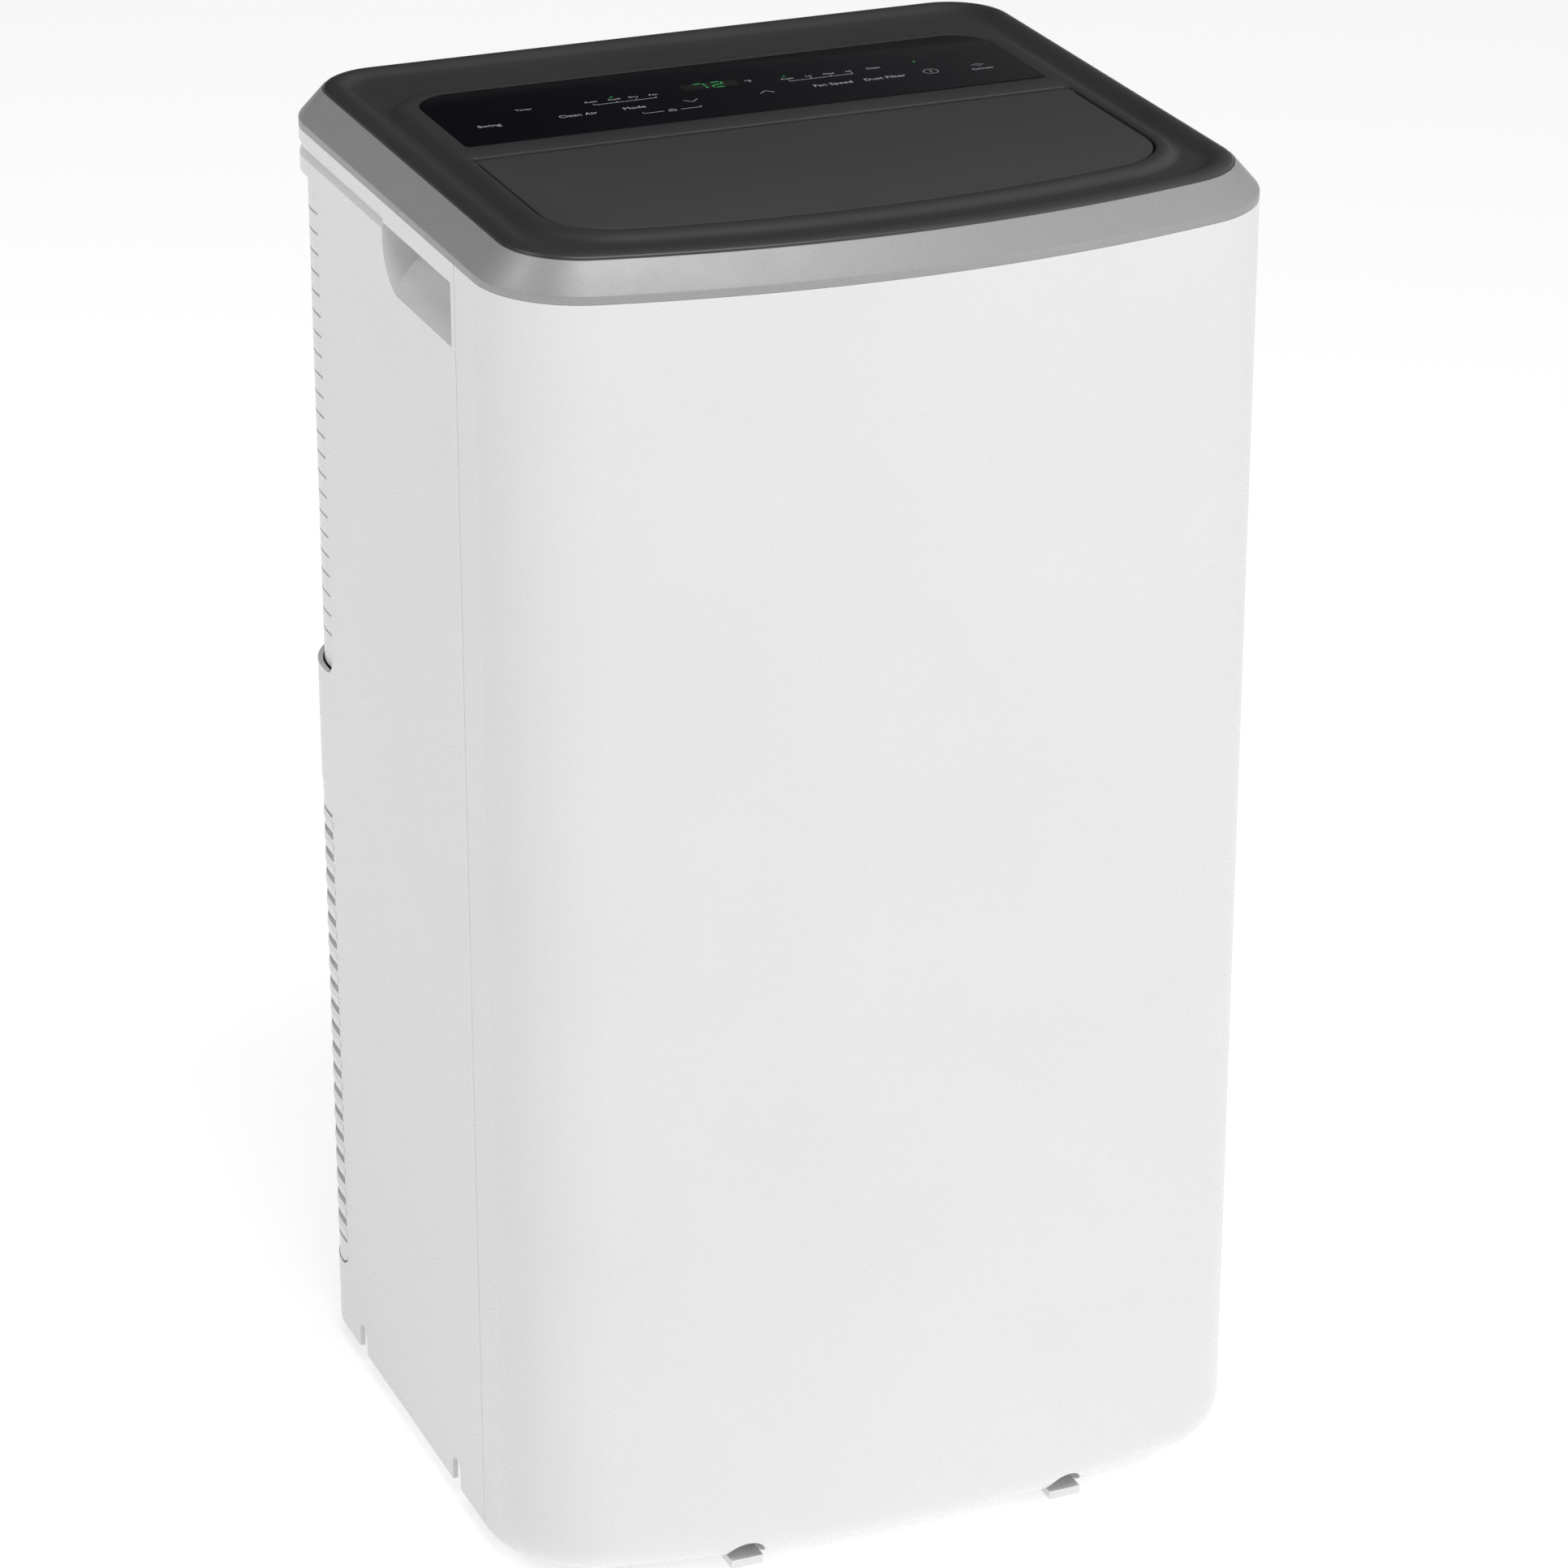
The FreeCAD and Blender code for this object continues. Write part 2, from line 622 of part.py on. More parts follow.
def make_control_board():
    y0 = GLASS_FRONT_Y + GLASS_LEDGE + BOARD_GAP
    top = DECK_BOTTOM_Z + 2
    board = prism(glass_outline(-GLASS_LEDGE - BOARD_GAP, top - BOARD_T), BOARD_T)
    parts = [box(x - 6, x + 6, y0 + 8, y0 + 20, top, top + 2) for x in range(-120, 121, 40)]
    return board.fuse(parts)


def make_display_module():
    y = (GLASS_FRONT_Y + GLASS_REAR_Y) / 2
    top = CREST_Z - GLASS_T - 0.3
    return box(-30, 12, y + 6, y + 24, DECK_BOTTOM_Z + 2, top)


# Outlet frame, vanes, link bar and swing motor

def vane_xs():
    first = -VANE_PITCH * (VANE_COUNT - 1) / 2
    return [first + VANE_PITCH * k for k in range(VANE_COUNT)]


def make_outlet_frame():
    half_w = FRAME_W / 2
    outer = box(-half_w, half_w, FRAME_FRONT_Y, FRAME_REAR_Y, FRAME_BOTTOM_Z, DECK_BOTTOM_Z)
    inner = box(-half_w + FRAME_WALL, half_w - FRAME_WALL, FRAME_FRONT_Y + FRAME_WALL,
                FRAME_REAR_Y - FRAME_WALL, FRAME_BOTTOM_Z - 1, DECK_BOTTOM_Z + 1)
    bores = [along_y(x, FRAME_FRONT_Y - 1, FRAME_REAR_Y + 1, VANE_PIVOT_Z, VANE_PIN_R + PIN_CLEARANCE)
             for x in vane_xs()]
    return outer.cut([inner] + bores)


def make_vane(x):
    y0 = FRAME_FRONT_Y + FRAME_WALL + VANE_FRONT_GAP
    y1 = FRAME_REAR_Y - FRAME_WALL - VANE_REAR_GAP
    blade = box(x - VANE_T / 2, x + VANE_T / 2, y0, y1, VANE_PIVOT_Z - VANE_DOWN, VANE_PIVOT_Z + VANE_UP)
    pivot = along_y(x, FRAME_FRONT_Y + 0.5, FRAME_REAR_Y - 0.5, VANE_PIVOT_Z, VANE_PIN_R)
    crank_z = VANE_PIVOT_Z - VANE_CRANK
    crank = along_y(x, y0 - LINK_GAP - LINK_T - 1, y0 + 2, crank_z, VANE_PIN_R)
    return blade.fuse([pivot, crank])


def make_link_bar():
    y1 = FRAME_FRONT_Y + FRAME_WALL + VANE_FRONT_GAP - LINK_GAP
    xs = vane_xs()
    crank_z = VANE_PIVOT_Z - VANE_CRANK
    bottom = crank_z - LINK_H / 2 + 1
    bar = box(xs[0] - 8, xs[-1] + 8, y1 - LINK_T, y1, bottom, bottom + LINK_H)
    half_slot = VANE_PIN_R + LINK_SLOT_CLEARANCE
    slots = [box(x - half_slot, x + half_slot, y1 - LINK_T - 1, y1 + 1,
                 crank_z - half_slot - 0.2, crank_z + half_slot + 2.2) for x in xs]
    return bar.cut(slots)


def make_swing_motor():
    x = vane_xs()[-1]
    y1 = FRAME_FRONT_Y
    can = along_y(x, y1 - SWING_MOTOR_L, y1, VANE_PIVOT_Z, SWING_MOTOR_R)
    ears = box(x - 20, x + 20, y1 - 2, y1, VANE_PIVOT_Z - 4, VANE_PIVOT_Z + 4)
    return can.fuse(ears)


# Upper intake

def make_filter_panel():
    wall = band(UPPER_INSET, UPPER_INSET + UPPER_PANEL_T, UPPER_BOTTOM_Z, UPPER_TOP_Z)
    panel = wall.common(upper_window(UPPER_GAP))
    usable = UPPER_TOP_Z - UPPER_BOTTOM_Z - 2 * UPPER_CORNER_R
    count = int(usable / UPPER_SLOT_PITCH)
    first = (UPPER_TOP_Z + UPPER_BOTTOM_Z) / 2 - UPPER_SLOT_PITCH * (count - 1) / 2
    half = UPPER_SLOT_W / 2
    third = UPPER_SLOT_W / 3
    cuts = []
    for k in range(count):
        z = first + UPPER_SLOT_PITCH * k
        low = z - UPPER_GROOVE_H / 2
        groove = band(0, UPPER_INSET + UPPER_GROOVE_DEPTH, low, low + UPPER_GROOVE_H)
        high = low + UPPER_GROOVE_H
        corners = box(-SIDE_X - 5, SIDE_X + 5, UPPER_SIDE_Y + UPPER_BORDER, REAR_Y + 5, low, high)
        middle = box(-half - UPPER_RIB_W, half + UPPER_RIB_W, REAR_Y - 30, REAR_Y + 5, low, high)
        cuts.append(groove.common(corners).cut(middle))
        for j in range(3):
            x0 = -half + third * j + UPPER_RIB_W / 2
            x1 = x0 + third - UPPER_RIB_W
            cuts.append(box(x0, x1, REAR_Y - 20, REAR_Y, z - UPPER_SLOT_H / 2, z + UPPER_SLOT_H / 2))
    for side in (-1, 1):
        x_out = side * (SIDE_X + 1)
        x_in = side * (SIDE_X - FINGER_DEPTH_X)
        cuts.append(box(min(x_out, x_in), max(x_out, x_in), REAR_Y - FINGER_DEPTH_Y, REAR_Y + 1,
                        FINGER_Z[0], FINGER_Z[1]))
    return panel.cut(cuts)


def make_dust_filter():
    y1 = REAR_Y - UPPER_INSET - UPPER_PANEL_T
    half = UPPER_SLOT_W / 2 + FILTER_BAR
    z0 = UPPER_BOTTOM_Z + UPPER_CORNER_R
    z1 = UPPER_TOP_Z - UPPER_CORNER_R
    frame = box(-half, half, y1 - FILTER_T, y1, z0, z1)
    cells = []
    columns = 6
    rows = 5
    cell_w = (2 * half - FILTER_BAR) / columns
    cell_h = (z1 - z0 - FILTER_BAR) / rows
    for i in range(columns):
        for j in range(rows):
            x0 = -half + FILTER_BAR / 2 + cell_w * i + FILTER_RIB
            low = z0 + FILTER_BAR / 2 + cell_h * j + FILTER_RIB
            cells.append(box(x0, x0 + cell_w - 2 * FILTER_RIB, y1 - FILTER_T + 0.6, y1 + 1,
                             low, low + cell_h - 2 * FILTER_RIB))
    return frame.cut(cells)


def make_intake_frame():
    wall = band(INTAKE_INSET, INTAKE_INSET + INTAKE_T, UPPER_BOTTOM_Z - 4, UPPER_TOP_Z + 4)
    wall = wall.common(box(-SIDE_X, SIDE_X, UPPER_SIDE_Y - 6, REAR_Y, 0, TOP_Z))
    half = UPPER_SLOT_W / 2
    bay = box(-half, half, REAR_Y - 40, REAR_Y, UPPER_BOTTOM_Z + 16, UPPER_TOP_Z - 16)
    rail_x = SPLIT_X - SEAM_GAP / 2
    rail = box(-rail_x, rail_x, REAR_Y - WALL, REAR_Y, UPPER_TOP_Z, RING_BOTTOM_Z)
    shelf = box(-rail_x + FLANGE_W, rail_x - FLANGE_W, REAR_Y - INTAKE_INSET - 1, REAR_Y - WALL,
                UPPER_TOP_Z, UPPER_TOP_Z + WALL)
    return wall.cut(bay).fuse([rail, shelf]).cut([groove_tool()] + screw_holes())


# Lower intake

def make_lower_grille():
    wall = band(LOWER_INSET, LOWER_INSET + LOWER_T, LOWER_BOTTOM_Z, LOWER_TOP_Z)
    grille = wall.common(lower_window(LOWER_GAP))
    z0 = LOWER_BOTTOM_Z + LOWER_RAIL
    z1 = LOWER_TOP_Z - LOWER_RAIL
    pitch = (z1 - z0) / LOWER_SLAT_COUNT
    field = box(-SIDE_X - 5, LOWER_END_X - LOWER_STILE - LOWER_GAP, LOWER_SIDE_Y + LOWER_STILE,
                REAR_Y + 5, z0, z1)
    cuts = []
    for k in range(LOWER_SLAT_COUNT + 1):
        z = z0 + pitch * k
        cuts.append(box(-SIDE_X - 5, LOWER_END_X - LOWER_STILE, LOWER_SIDE_Y + LOWER_STILE,
                        REAR_Y + 5, z - LOWER_SLOT_H / 2, z + LOWER_SLOT_H / 2).common(field))
    back = band(LOWER_INSET + LOWER_T - 1.5, LOWER_INSET + LOWER_T, LOWER_BOTTOM_Z, LOWER_TOP_Z)
    ribs = [back.common(box(x - 2, x + 2, REAR_Y - 30, REAR_Y, z0 - 2, z1 + 2))
            for x in (-165.0, -120.0, -75.0)]
    return grille.cut(cuts).fuse(ribs)


# Rear fittings

def make_exhaust_collar():
    flange = along_y(COLLAR_X, REAR_Y - COLLAR_FLANGE_T, REAR_Y, COLLAR_Z, COLLAR_FLANGE_R - PART_GAP)
    tube = along_y(COLLAR_X, REAR_Y - COLLAR_L, REAR_Y, COLLAR_Z, COLLAR_BORE_R + COLLAR_T - PART_GAP)
    bore = along_y(COLLAR_X, REAR_Y - COLLAR_L - 1, REAR_Y + 1, COLLAR_Z, COLLAR_BORE_R)
    return flange.fuse(tube).cut(bore)


def make_drain_spout(z):
    tube = along_y(DRAIN_X, REAR_Y - DRAIN_L, REAR_Y - WALL, z, DRAIN_R + DRAIN_WALL - PART_GAP)
    return tube.cut(along_y(DRAIN_X, REAR_Y - DRAIN_L - 1, REAR_Y + 1, z, DRAIN_R))


def make_drain_plug(z):
    head = along_y(DRAIN_X, REAR_Y - PLUG_HEAD_T * 0.6 + 0.3, REAR_Y, z, PLUG_HEAD_R)
    stem = along_y(DRAIN_X, REAR_Y - DRAIN_L + 4, REAR_Y - 1, z, DRAIN_R - PIN_CLEARANCE)
    grip = box(DRAIN_X - 2, DRAIN_X + 2, REAR_Y - 1.2, REAR_Y + 1, z - 8, z + 8)
    return head.fuse(stem).cut(grip)


def make_cord_gland():
    flange = along_y(GLAND_X, REAR_Y - GLAND_FLANGE_T, REAR_Y, GLAND_Z, GLAND_FLANGE_R)
    body = along_y(GLAND_X, REAR_Y - GLAND_L, REAR_Y - GLAND_FLANGE_T, GLAND_Z, GLAND_R)
    bore = along_y(GLAND_X, REAR_Y - GLAND_L - 1, REAR_Y + 1, GLAND_Z, GLAND_BORE_R)
    return flange.fuse(body).cut(bore)


# Base tray and casters

def make_base_tray():
    inset = TRAY_INSET
    plate = prism(plan(inset, TRAY_TOP_Z - TRAY_T), TRAY_T)
    skirt = band(inset, inset + TRAY_T, TRAY_SKIRT_Z, TRAY_TOP_Z - TRAY_T)
    rim = band(inset + 1, inset + TRAY_T + 1, TRAY_TOP_Z, TRAY_TOP_Z + 4)
    rim = rim.cut(box(-SIDE_X, SIDE_X, REAR_Y - 60, REAR_Y, TRAY_TOP_Z, TRAY_TOP_Z + 5))
    adds = [skirt, rim]
    cuts = []
    for x in (-NOTCH_X, NOTCH_X):
        half = NOTCH_R - TAB_GAP
        adds.append(box(x - half, x + half, FRONT_Y + 26, FRONT_Y + 34, FLOOR_GAP - 1, TRAY_TOP_Z - TRAY_T))
        adds.append(box(x - half, x + half, FRONT_Y + 14, FRONT_Y + 30, FLOOR_GAP - 2, FLOOR_GAP + 3))
    for x in (-CASTER_X, CASTER_X):
        for y in CASTER_YS:
            bottom = CROWN_Z + CROWN_T + SWIVEL_GAP
            adds.append(upright(x, y, bottom, TRAY_TOP_Z - TRAY_T, CASTER_BOSS_R))
            cuts.append(upright(x, y, bottom - 1, TRAY_TOP_Z + 1, STEM_R + PIN_CLEARANCE))
    for x, y in compressor_feet():
        adds.append(upright(x, y, TRAY_TOP_Z - 1, TRAY_TOP_Z + GROMMET_H + FOOT_T + 4, STUD_R))
    return plate.fuse(adds).cut(cuts)


def make_caster_fork(x, y):
    axle_y = y + CASTER_TRAIL
    half = WHEEL_W / 2 + FORK_GAP
    crown = upright(x, y, CROWN_Z, CROWN_Z + CROWN_T, CROWN_R)
    stem = upright(x, y, CROWN_Z, TRAY_TOP_Z - 1, STEM_R)
    adds = [stem]
    for side in (-1, 1):
        x0 = min(x + side * half, x + side * (half + FORK_T))
        leg = box(x0, x0 + FORK_T, y - 8, axle_y + 7, WHEEL_R - 7, CROWN_Z + CROWN_T)
        leg = fillet_where(leg, 6.0, lambda mid, step: runs_along(step, 0) and mid.z < WHEEL_R)
        adds.append(leg)
    adds.append(along_x(x - half - 1, x + half + 1, axle_y, WHEEL_R, AXLE_R))
    return crown.fuse(adds)


def make_caster_wheel(x, y):
    axle_y = y + CASTER_TRAIL
    wheel = along_x(x - WHEEL_W / 2, x + WHEEL_W / 2, axle_y, WHEEL_R, WHEEL_R)
    wheel = wheel.makeFillet(2.0, [e for e in wheel.Edges if len(e.Vertexes) == 1])
    bore = along_x(x - WHEEL_W, x + WHEEL_W, axle_y, WHEEL_R, AXLE_R + PIN_CLEARANCE)
    return wheel.cut(bore)


# Lower compartment

def compressor_feet():
    points = []
    for k in range(3):
        angle = math.radians(90 + 120 * k)
        points.append((COMPRESSOR_X + FOOT_PCD / 2 * math.cos(angle),
                       COMPRESSOR_Y + FOOT_PCD / 2 * math.sin(angle)))
    return points


def make_compressor():
    foot_z = TRAY_TOP_Z + GROMMET_H
    z0 = foot_z + FOOT_T
    can = upright(COMPRESSOR_X, COMPRESSOR_Y, z0 - 1, z0 + COMPRESSOR_H, COMPRESSOR_R)
    rims = [e for e in can.Edges if len(e.Vertexes) == 1 and e.CenterOfMass.z > z0 + 10]
    can = can.makeFillet(COMPRESSOR_R * 0.45, rims)
    base = upright(COMPRESSOR_X, COMPRESSOR_Y, foot_z, foot_z + FOOT_T, COMPRESSOR_R - 4)
    adds = [base]
    cuts = []
    for x, y in compressor_feet():
        adds.append(upright(x, y, foot_z, foot_z + FOOT_T, GROMMET_R + 3))
        middle = upright((x + COMPRESSOR_X) / 2, (y + COMPRESSOR_Y) / 2, foot_z, foot_z + FOOT_T, 30)
        adds.append(middle)
        cuts.append(upright(x, y, foot_z - 1, foot_z + FOOT_T + 1, STUD_R + PART_GAP))
    terminal = upright(COMPRESSOR_X + 25, COMPRESSOR_Y - 25, z0 + COMPRESSOR_H - 20,
                       z0 + COMPRESSOR_H + 6, 14)
    return can.fuse(adds + [terminal]).cut(cuts)


def make_compressor_grommets():
    rings = []
    for x, y in compressor_feet():
        ring = upright(x, y, TRAY_TOP_Z, TRAY_TOP_Z + GROMMET_H, GROMMET_R)
        rings.append(ring.cut(upright(x, y, TRAY_TOP_Z - 1, TRAY_TOP_Z + GROMMET_H + 1,
                                      STUD_R + PART_GAP)))
    return Part.makeCompound(rings)


def accumulator_x():
    return COMPRESSOR_X + COMPRESSOR_R + ACCUMULATOR_R + 5


def make_accumulator():
    x = accumulator_x()
    z1 = ACCUMULATOR_Z + ACCUMULATOR_H
    can = upright(x, COMPRESSOR_Y, ACCUMULATOR_Z, z1, ACCUMULATOR_R)
    can = can.makeFillet(ACCUMULATOR_R * 0.6, [e for e in can.Edges if len(e.Vertexes) == 1])
    strap = box(COMPRESSOR_X + COMPRESSOR_R - 1, x, COMPRESSOR_Y - 6, COMPRESSOR_Y + 6,
                ACCUMULATOR_Z + 90, ACCUMULATOR_Z + 110)
    body = upright(COMPRESSOR_X, COMPRESSOR_Y, ACCUMULATOR_Z, z1, COMPRESSOR_R)
    return can.fuse(strap.cut(body))


def make_coil(x0, x1, y0, y1, z0, height, rows):
    """Finned block with end plates and rows of hairpin bends at both ends."""
    fins = box(x0, x1, y0, y1, z0, z0 + height)
    adds = []
    pitch = height / rows
    middle = (y0 + y1) / 2
    reach = (y1 - y0) / 4
    for k in range(rows):
        z = z0 + pitch * (k + 0.5)
        for end, out in ((x0, -1), (x1, 1)):
            ring = Part.makeTorus(reach, COIL_TUBE_R, Vec(end, middle, z), Vec(0, 0, 1))
            half = box(min(end, end + out * 30), max(end, end + out * 30), y0, y1, z - 6, z + 6)
            adds.append(ring.common(half))
    return fins.fuse(adds)


def make_condenser_coil():
    half = CONDENSER_W / 2
    z0 = TRAY_TOP_Z + 4
    return make_coil(CONDENSER_X - half, CONDENSER_X + half, CONDENSER_Y - CONDENSER_T / 2,
                     CONDENSER_Y + CONDENSER_T / 2, z0, CONDENSER_H, COIL_ROWS)


def make_fan_case():
    """Casing that carries the hot air from the condenser fan to the collar."""
    y1 = REAR_Y - COLLAR_L
    y_neck = y1 - 24
    neck_r = COLLAR_BORE_R + COLLAR_T

    def body(shrink, extra):
        drum = along_y(COLLAR_X, FAN_CASE_FRONT_Y + extra, y_neck, COLLAR_Z, FAN_CASE_R - shrink)
        cone = Part.makeCone(FAN_CASE_R - shrink, neck_r - shrink, y1 - y_neck,
                             Vec(COLLAR_X, y_neck, COLLAR_Z), Vec(0, 1, 0))
        return drum.fuse(cone)

    inlet = along_y(COLLAR_X, FAN_CASE_FRONT_Y - 1, FAN_CASE_FRONT_Y + 5, COLLAR_Z, FAN_INLET_R)
    throat = along_y(COLLAR_X, y1 - 5, y1 + 5, COLLAR_Z, neck_r - FAN_CASE_T)
    return body(0, 0).cut([body(FAN_CASE_T, FAN_CASE_T), inlet, throat])


def make_wheel(x, y0, width, z, radius):
    """Centrifugal wheel: back plate, ring of straight blades, front ring and hub."""
    back = along_y(x, y0, y0 + WHEEL_PLATE_T, z, radius)
    front = along_y(x, y0 + width - WHEEL_PLATE_T, y0 + width, z, radius)
    front = front.cut(along_y(x, y0, y0 + width + 1, z, radius - BLADE_DEPTH))
    hub = along_y(x, y0, y0 + WHEEL_HUB_L, z, WHEEL_HUB_R)
    blade = box(x + radius - BLADE_DEPTH, x + radius - 1, y0 + 1, y0 + width - 1,
                z - BLADE_T / 2, z + BLADE_T / 2)
    blade.rotate(Vec(x + radius - BLADE_DEPTH / 2, y0, z), Vec(0, 1, 0), BLADE_TURN)
    blades = []
    for k in range(BLADE_COUNT):
        copy = blade.copy()
        copy.rotate(Vec(x, y0, z), Vec(0, 1, 0), 360 * k / BLADE_COUNT)
        blades.append(copy)
    bore = along_y(x, y0 - 1, y0 + WHEEL_HUB_L - 5, z, SHAFT_R + PIN_CLEARANCE)
    return back.fuse(blades + [front, hub]).cut(bore)


def make_motor(x, y_face, length, z, radius, shaft_l):
    """Fan motor on the front side of its wheel, with the shaft pointing rearwards."""
    can = along_y(x, y_face - length, y_face, z, radius)
    can = can.makeFillet(MOTOR_EDGE_R, [e for e in can.Edges if len(e.Vertexes) == 1])
    shaft = along_y(x, y_face - 2, y_face + shaft_l, z, SHAFT_R)
    return can.fuse(shaft)


def make_condenser_wheel():
    return make_wheel(COLLAR_X, FAN_CASE_FRONT_Y + MOTOR_GAP, CONDENSER_WHEEL_W, COLLAR_Z, CONDENSER_WHEEL_R)


def make_condenser_motor():
    y_face = FAN_CASE_FRONT_Y - MOTOR_GAP
    motor = make_motor(COLLAR_X, y_face, CONDENSER_MOTOR_L, COLLAR_Z, CONDENSER_MOTOR_R,
                       CONDENSER_SHAFT_L)
    foot = box(COLLAR_X - 30, COLLAR_X + 30, y_face - CONDENSER_MOTOR_L + 10, y_face - 10,
               TRAY_TOP_Z, TRAY_TOP_Z + 3)
    post = box(COLLAR_X - 22, COLLAR_X + 22, y_face - CONDENSER_MOTOR_L + 20, y_face - 20,
               TRAY_TOP_Z, COLLAR_Z - CONDENSER_MOTOR_R + 6)
    return motor.fuse([foot, post])


def make_splash_motor():
    motor = make_motor(SPLASH_X, SPLASH_MOTOR_Y, SPLASH_MOTOR_L, SPLASH_Z, SPLASH_MOTOR_R, SPLASH_SHAFT_L)
    post = box(SPLASH_X - 8, SPLASH_X + 8, SPLASH_MOTOR_Y - 26, SPLASH_MOTOR_Y - 4, TRAY_TOP_Z, SPLASH_Z)
    return motor.fuse(post)


def make_splash_wheel():
    y0 = SPLASH_MOTOR_Y + 4
    disc = along_y(SPLASH_X, y0, y0 + SPLASH_HUB_L, SPLASH_Z, SPLASH_HUB_R)
    paddles = []
    for k in range(SPLASH_PADDLES):
        paddle = box(SPLASH_X - 1, SPLASH_X + 1, y0 + 2, y0 + SPLASH_HUB_L - 2, SPLASH_Z,
                     SPLASH_Z + SPLASH_WHEEL_R)
        paddle.rotate(Vec(SPLASH_X, 0, SPLASH_Z), Vec(0, 1, 0), 360 / SPLASH_PADDLES * k)
        paddles.append(paddle)
    bore = along_y(SPLASH_X, y0 - 1, y0 + SPLASH_HUB_L - 1, SPLASH_Z, SHAFT_R + PIN_CLEARANCE)
    return disc.fuse(paddles).cut(bore)


# Upper compartment

def make_drip_pan():
    inset = WALL + 4 * PART_GAP
    plate = prism(plan(inset, PAN_Z), PAN_T)
    rim = band(inset, inset + PAN_T, PAN_Z, PAN_Z + PAN_RIM_H)
    flange_x = SPLIT_X + 14
    relief = box(-flange_x, flange_x, REAR_Y - 2 * WALL - 1, REAR_Y, PAN_Z - 1, PAN_Z + PAN_RIM_H + 1)
    back = box(-flange_x, flange_x, REAR_Y - 3 * WALL - 1, REAR_Y - 2 * WALL - 1, PAN_Z, PAN_Z + PAN_RIM_H)
    passages = [upright(x, RUN_Y, PAN_Z - 1, PAN_Z + PAN_T + 1, PIPE_R + 2) for x in (-RISER_X, RISER_X)]
    drain = along_y(DRAIN_X, REAR_Y - DRAIN_L - 2, REAR_Y, UPPER_DRAIN_Z, DRAIN_R + DRAIN_WALL)
    return plate.fuse(rim).cut(relief).fuse(back).cut(passages + [drain])


def make_evaporator_coil():
    half = EVAPORATOR_W / 2
    return make_coil(-half, half, EVAPORATOR_Y - EVAPORATOR_T / 2, EVAPORATOR_Y + EVAPORATOR_T / 2,
                     EVAPORATOR_Z, EVAPORATOR_H, COIL_ROWS)


def make_coil_stand():
    half = EVAPORATOR_W / 2
    y0 = EVAPORATOR_Y - EVAPORATOR_T / 2
    y1 = EVAPORATOR_Y + EVAPORATOR_T / 2
    top = box(-half, half, y0, y1, EVAPORATOR_Z - 4, EVAPORATOR_Z)
    legs = [box(x - 6, x + 6, y0, y1, PAN_Z + PAN_T, EVAPORATOR_Z - 4) for x in (-half + 6, 0, half - 6)]
    return top.fuse(legs)


def frustum(shrink, neck_y0, neck_y1):
    """Duct that widens upwards from the blower's neck to the outlet frame."""
    def rectangle(half_w, z):
        points = [Vec(-half_w, neck_y0, z), Vec(half_w, neck_y0, z),
                  Vec(half_w, neck_y1, z), Vec(-half_w, neck_y1, z)]
        return Part.makePolygon(points + [points[0]])
    return loft(rectangle(VOLUTE_NECK_W / 2 - shrink, VOLUTE_NECK_Z),
                rectangle(FRAME_W / 2 - shrink, FRAME_BOTTOM_Z))


def make_blower_housing():
    outer = along_y(0, VOLUTE_FRONT_Y, VOLUTE_REAR_Y, VOLUTE_Z, VOLUTE_R)
    outer = outer.fuse(frustum(0, VOLUTE_FRONT_Y, VOLUTE_REAR_Y))
    y0 = VOLUTE_FRONT_Y + VOLUTE_T
    y1 = VOLUTE_REAR_Y - VOLUTE_T
    inner = along_y(0, y0, y1, VOLUTE_Z, VOLUTE_R - VOLUTE_T).fuse(frustum(VOLUTE_T, y0, y1))
    inlet = along_y(0, y1 - 1, VOLUTE_REAR_Y + 1, VOLUTE_Z, VOLUTE_INLET_R)
    shaft = along_y(0, VOLUTE_FRONT_Y - 1, y0 + 1, VOLUTE_Z, SHAFT_R + 4)
    return outer.cut([inner, inlet, shaft])


def make_blower_stand():
    """Two legs that hold the blower housing above the pan."""
    legs = []
    for x in (-60.0, 60.0):
        leg = box(x - 10, x + 10, VOLUTE_FRONT_Y + 8, VOLUTE_REAR_Y - 8, PAN_Z + PAN_T, VOLUTE_Z - 60)
        legs.append(leg)
    drum = along_y(0, VOLUTE_FRONT_Y, VOLUTE_REAR_Y, VOLUTE_Z, VOLUTE_R)
    tie = box(-60, 60, VOLUTE_FRONT_Y + 30, VOLUTE_REAR_Y - 30, PAN_Z + PAN_T, PAN_Z + PAN_T + 4)
    return legs[0].fuse([legs[1], tie]).cut(drum)


def make_evaporator_wheel():
    return make_wheel(0, VOLUTE_FRONT_Y + EVAPORATOR_WHEEL_GAP, EVAPORATOR_WHEEL_W, VOLUTE_Z,
                      EVAPORATOR_WHEEL_R)


def make_evaporator_motor():
    return make_motor(0, VOLUTE_FRONT_Y, EVAPORATOR_MOTOR_L, VOLUTE_Z, EVAPORATOR_MOTOR_R,
                      EVAPORATOR_SHAFT_L)


def make_control_box():
    t = BOX_WALL
    outer = box(*BOX_X, *BOX_Y, *BOX_Z)
    return outer.cut(box(BOX_X[0] + t, BOX_X[1] - t, BOX_Y[0] + t, BOX_Y[1] - t, BOX_Z[0] + t, BOX_Z[1] - t))


def make_capacitor():
    z0 = PAN_Z + PAN_T
    z1 = z0 + CAPACITOR_H
    body = upright(CAPACITOR_X, CAPACITOR_Y, z0, z1, CAPACITOR_R)
    tabs = [box(x - 0.5, x + 0.5, CAPACITOR_Y - 4, CAPACITOR_Y + 4, z1 - 1, z1 + 8)
            for x in (CAPACITOR_X - 7, CAPACITOR_X + 7)]
    return body.fuse(tabs)


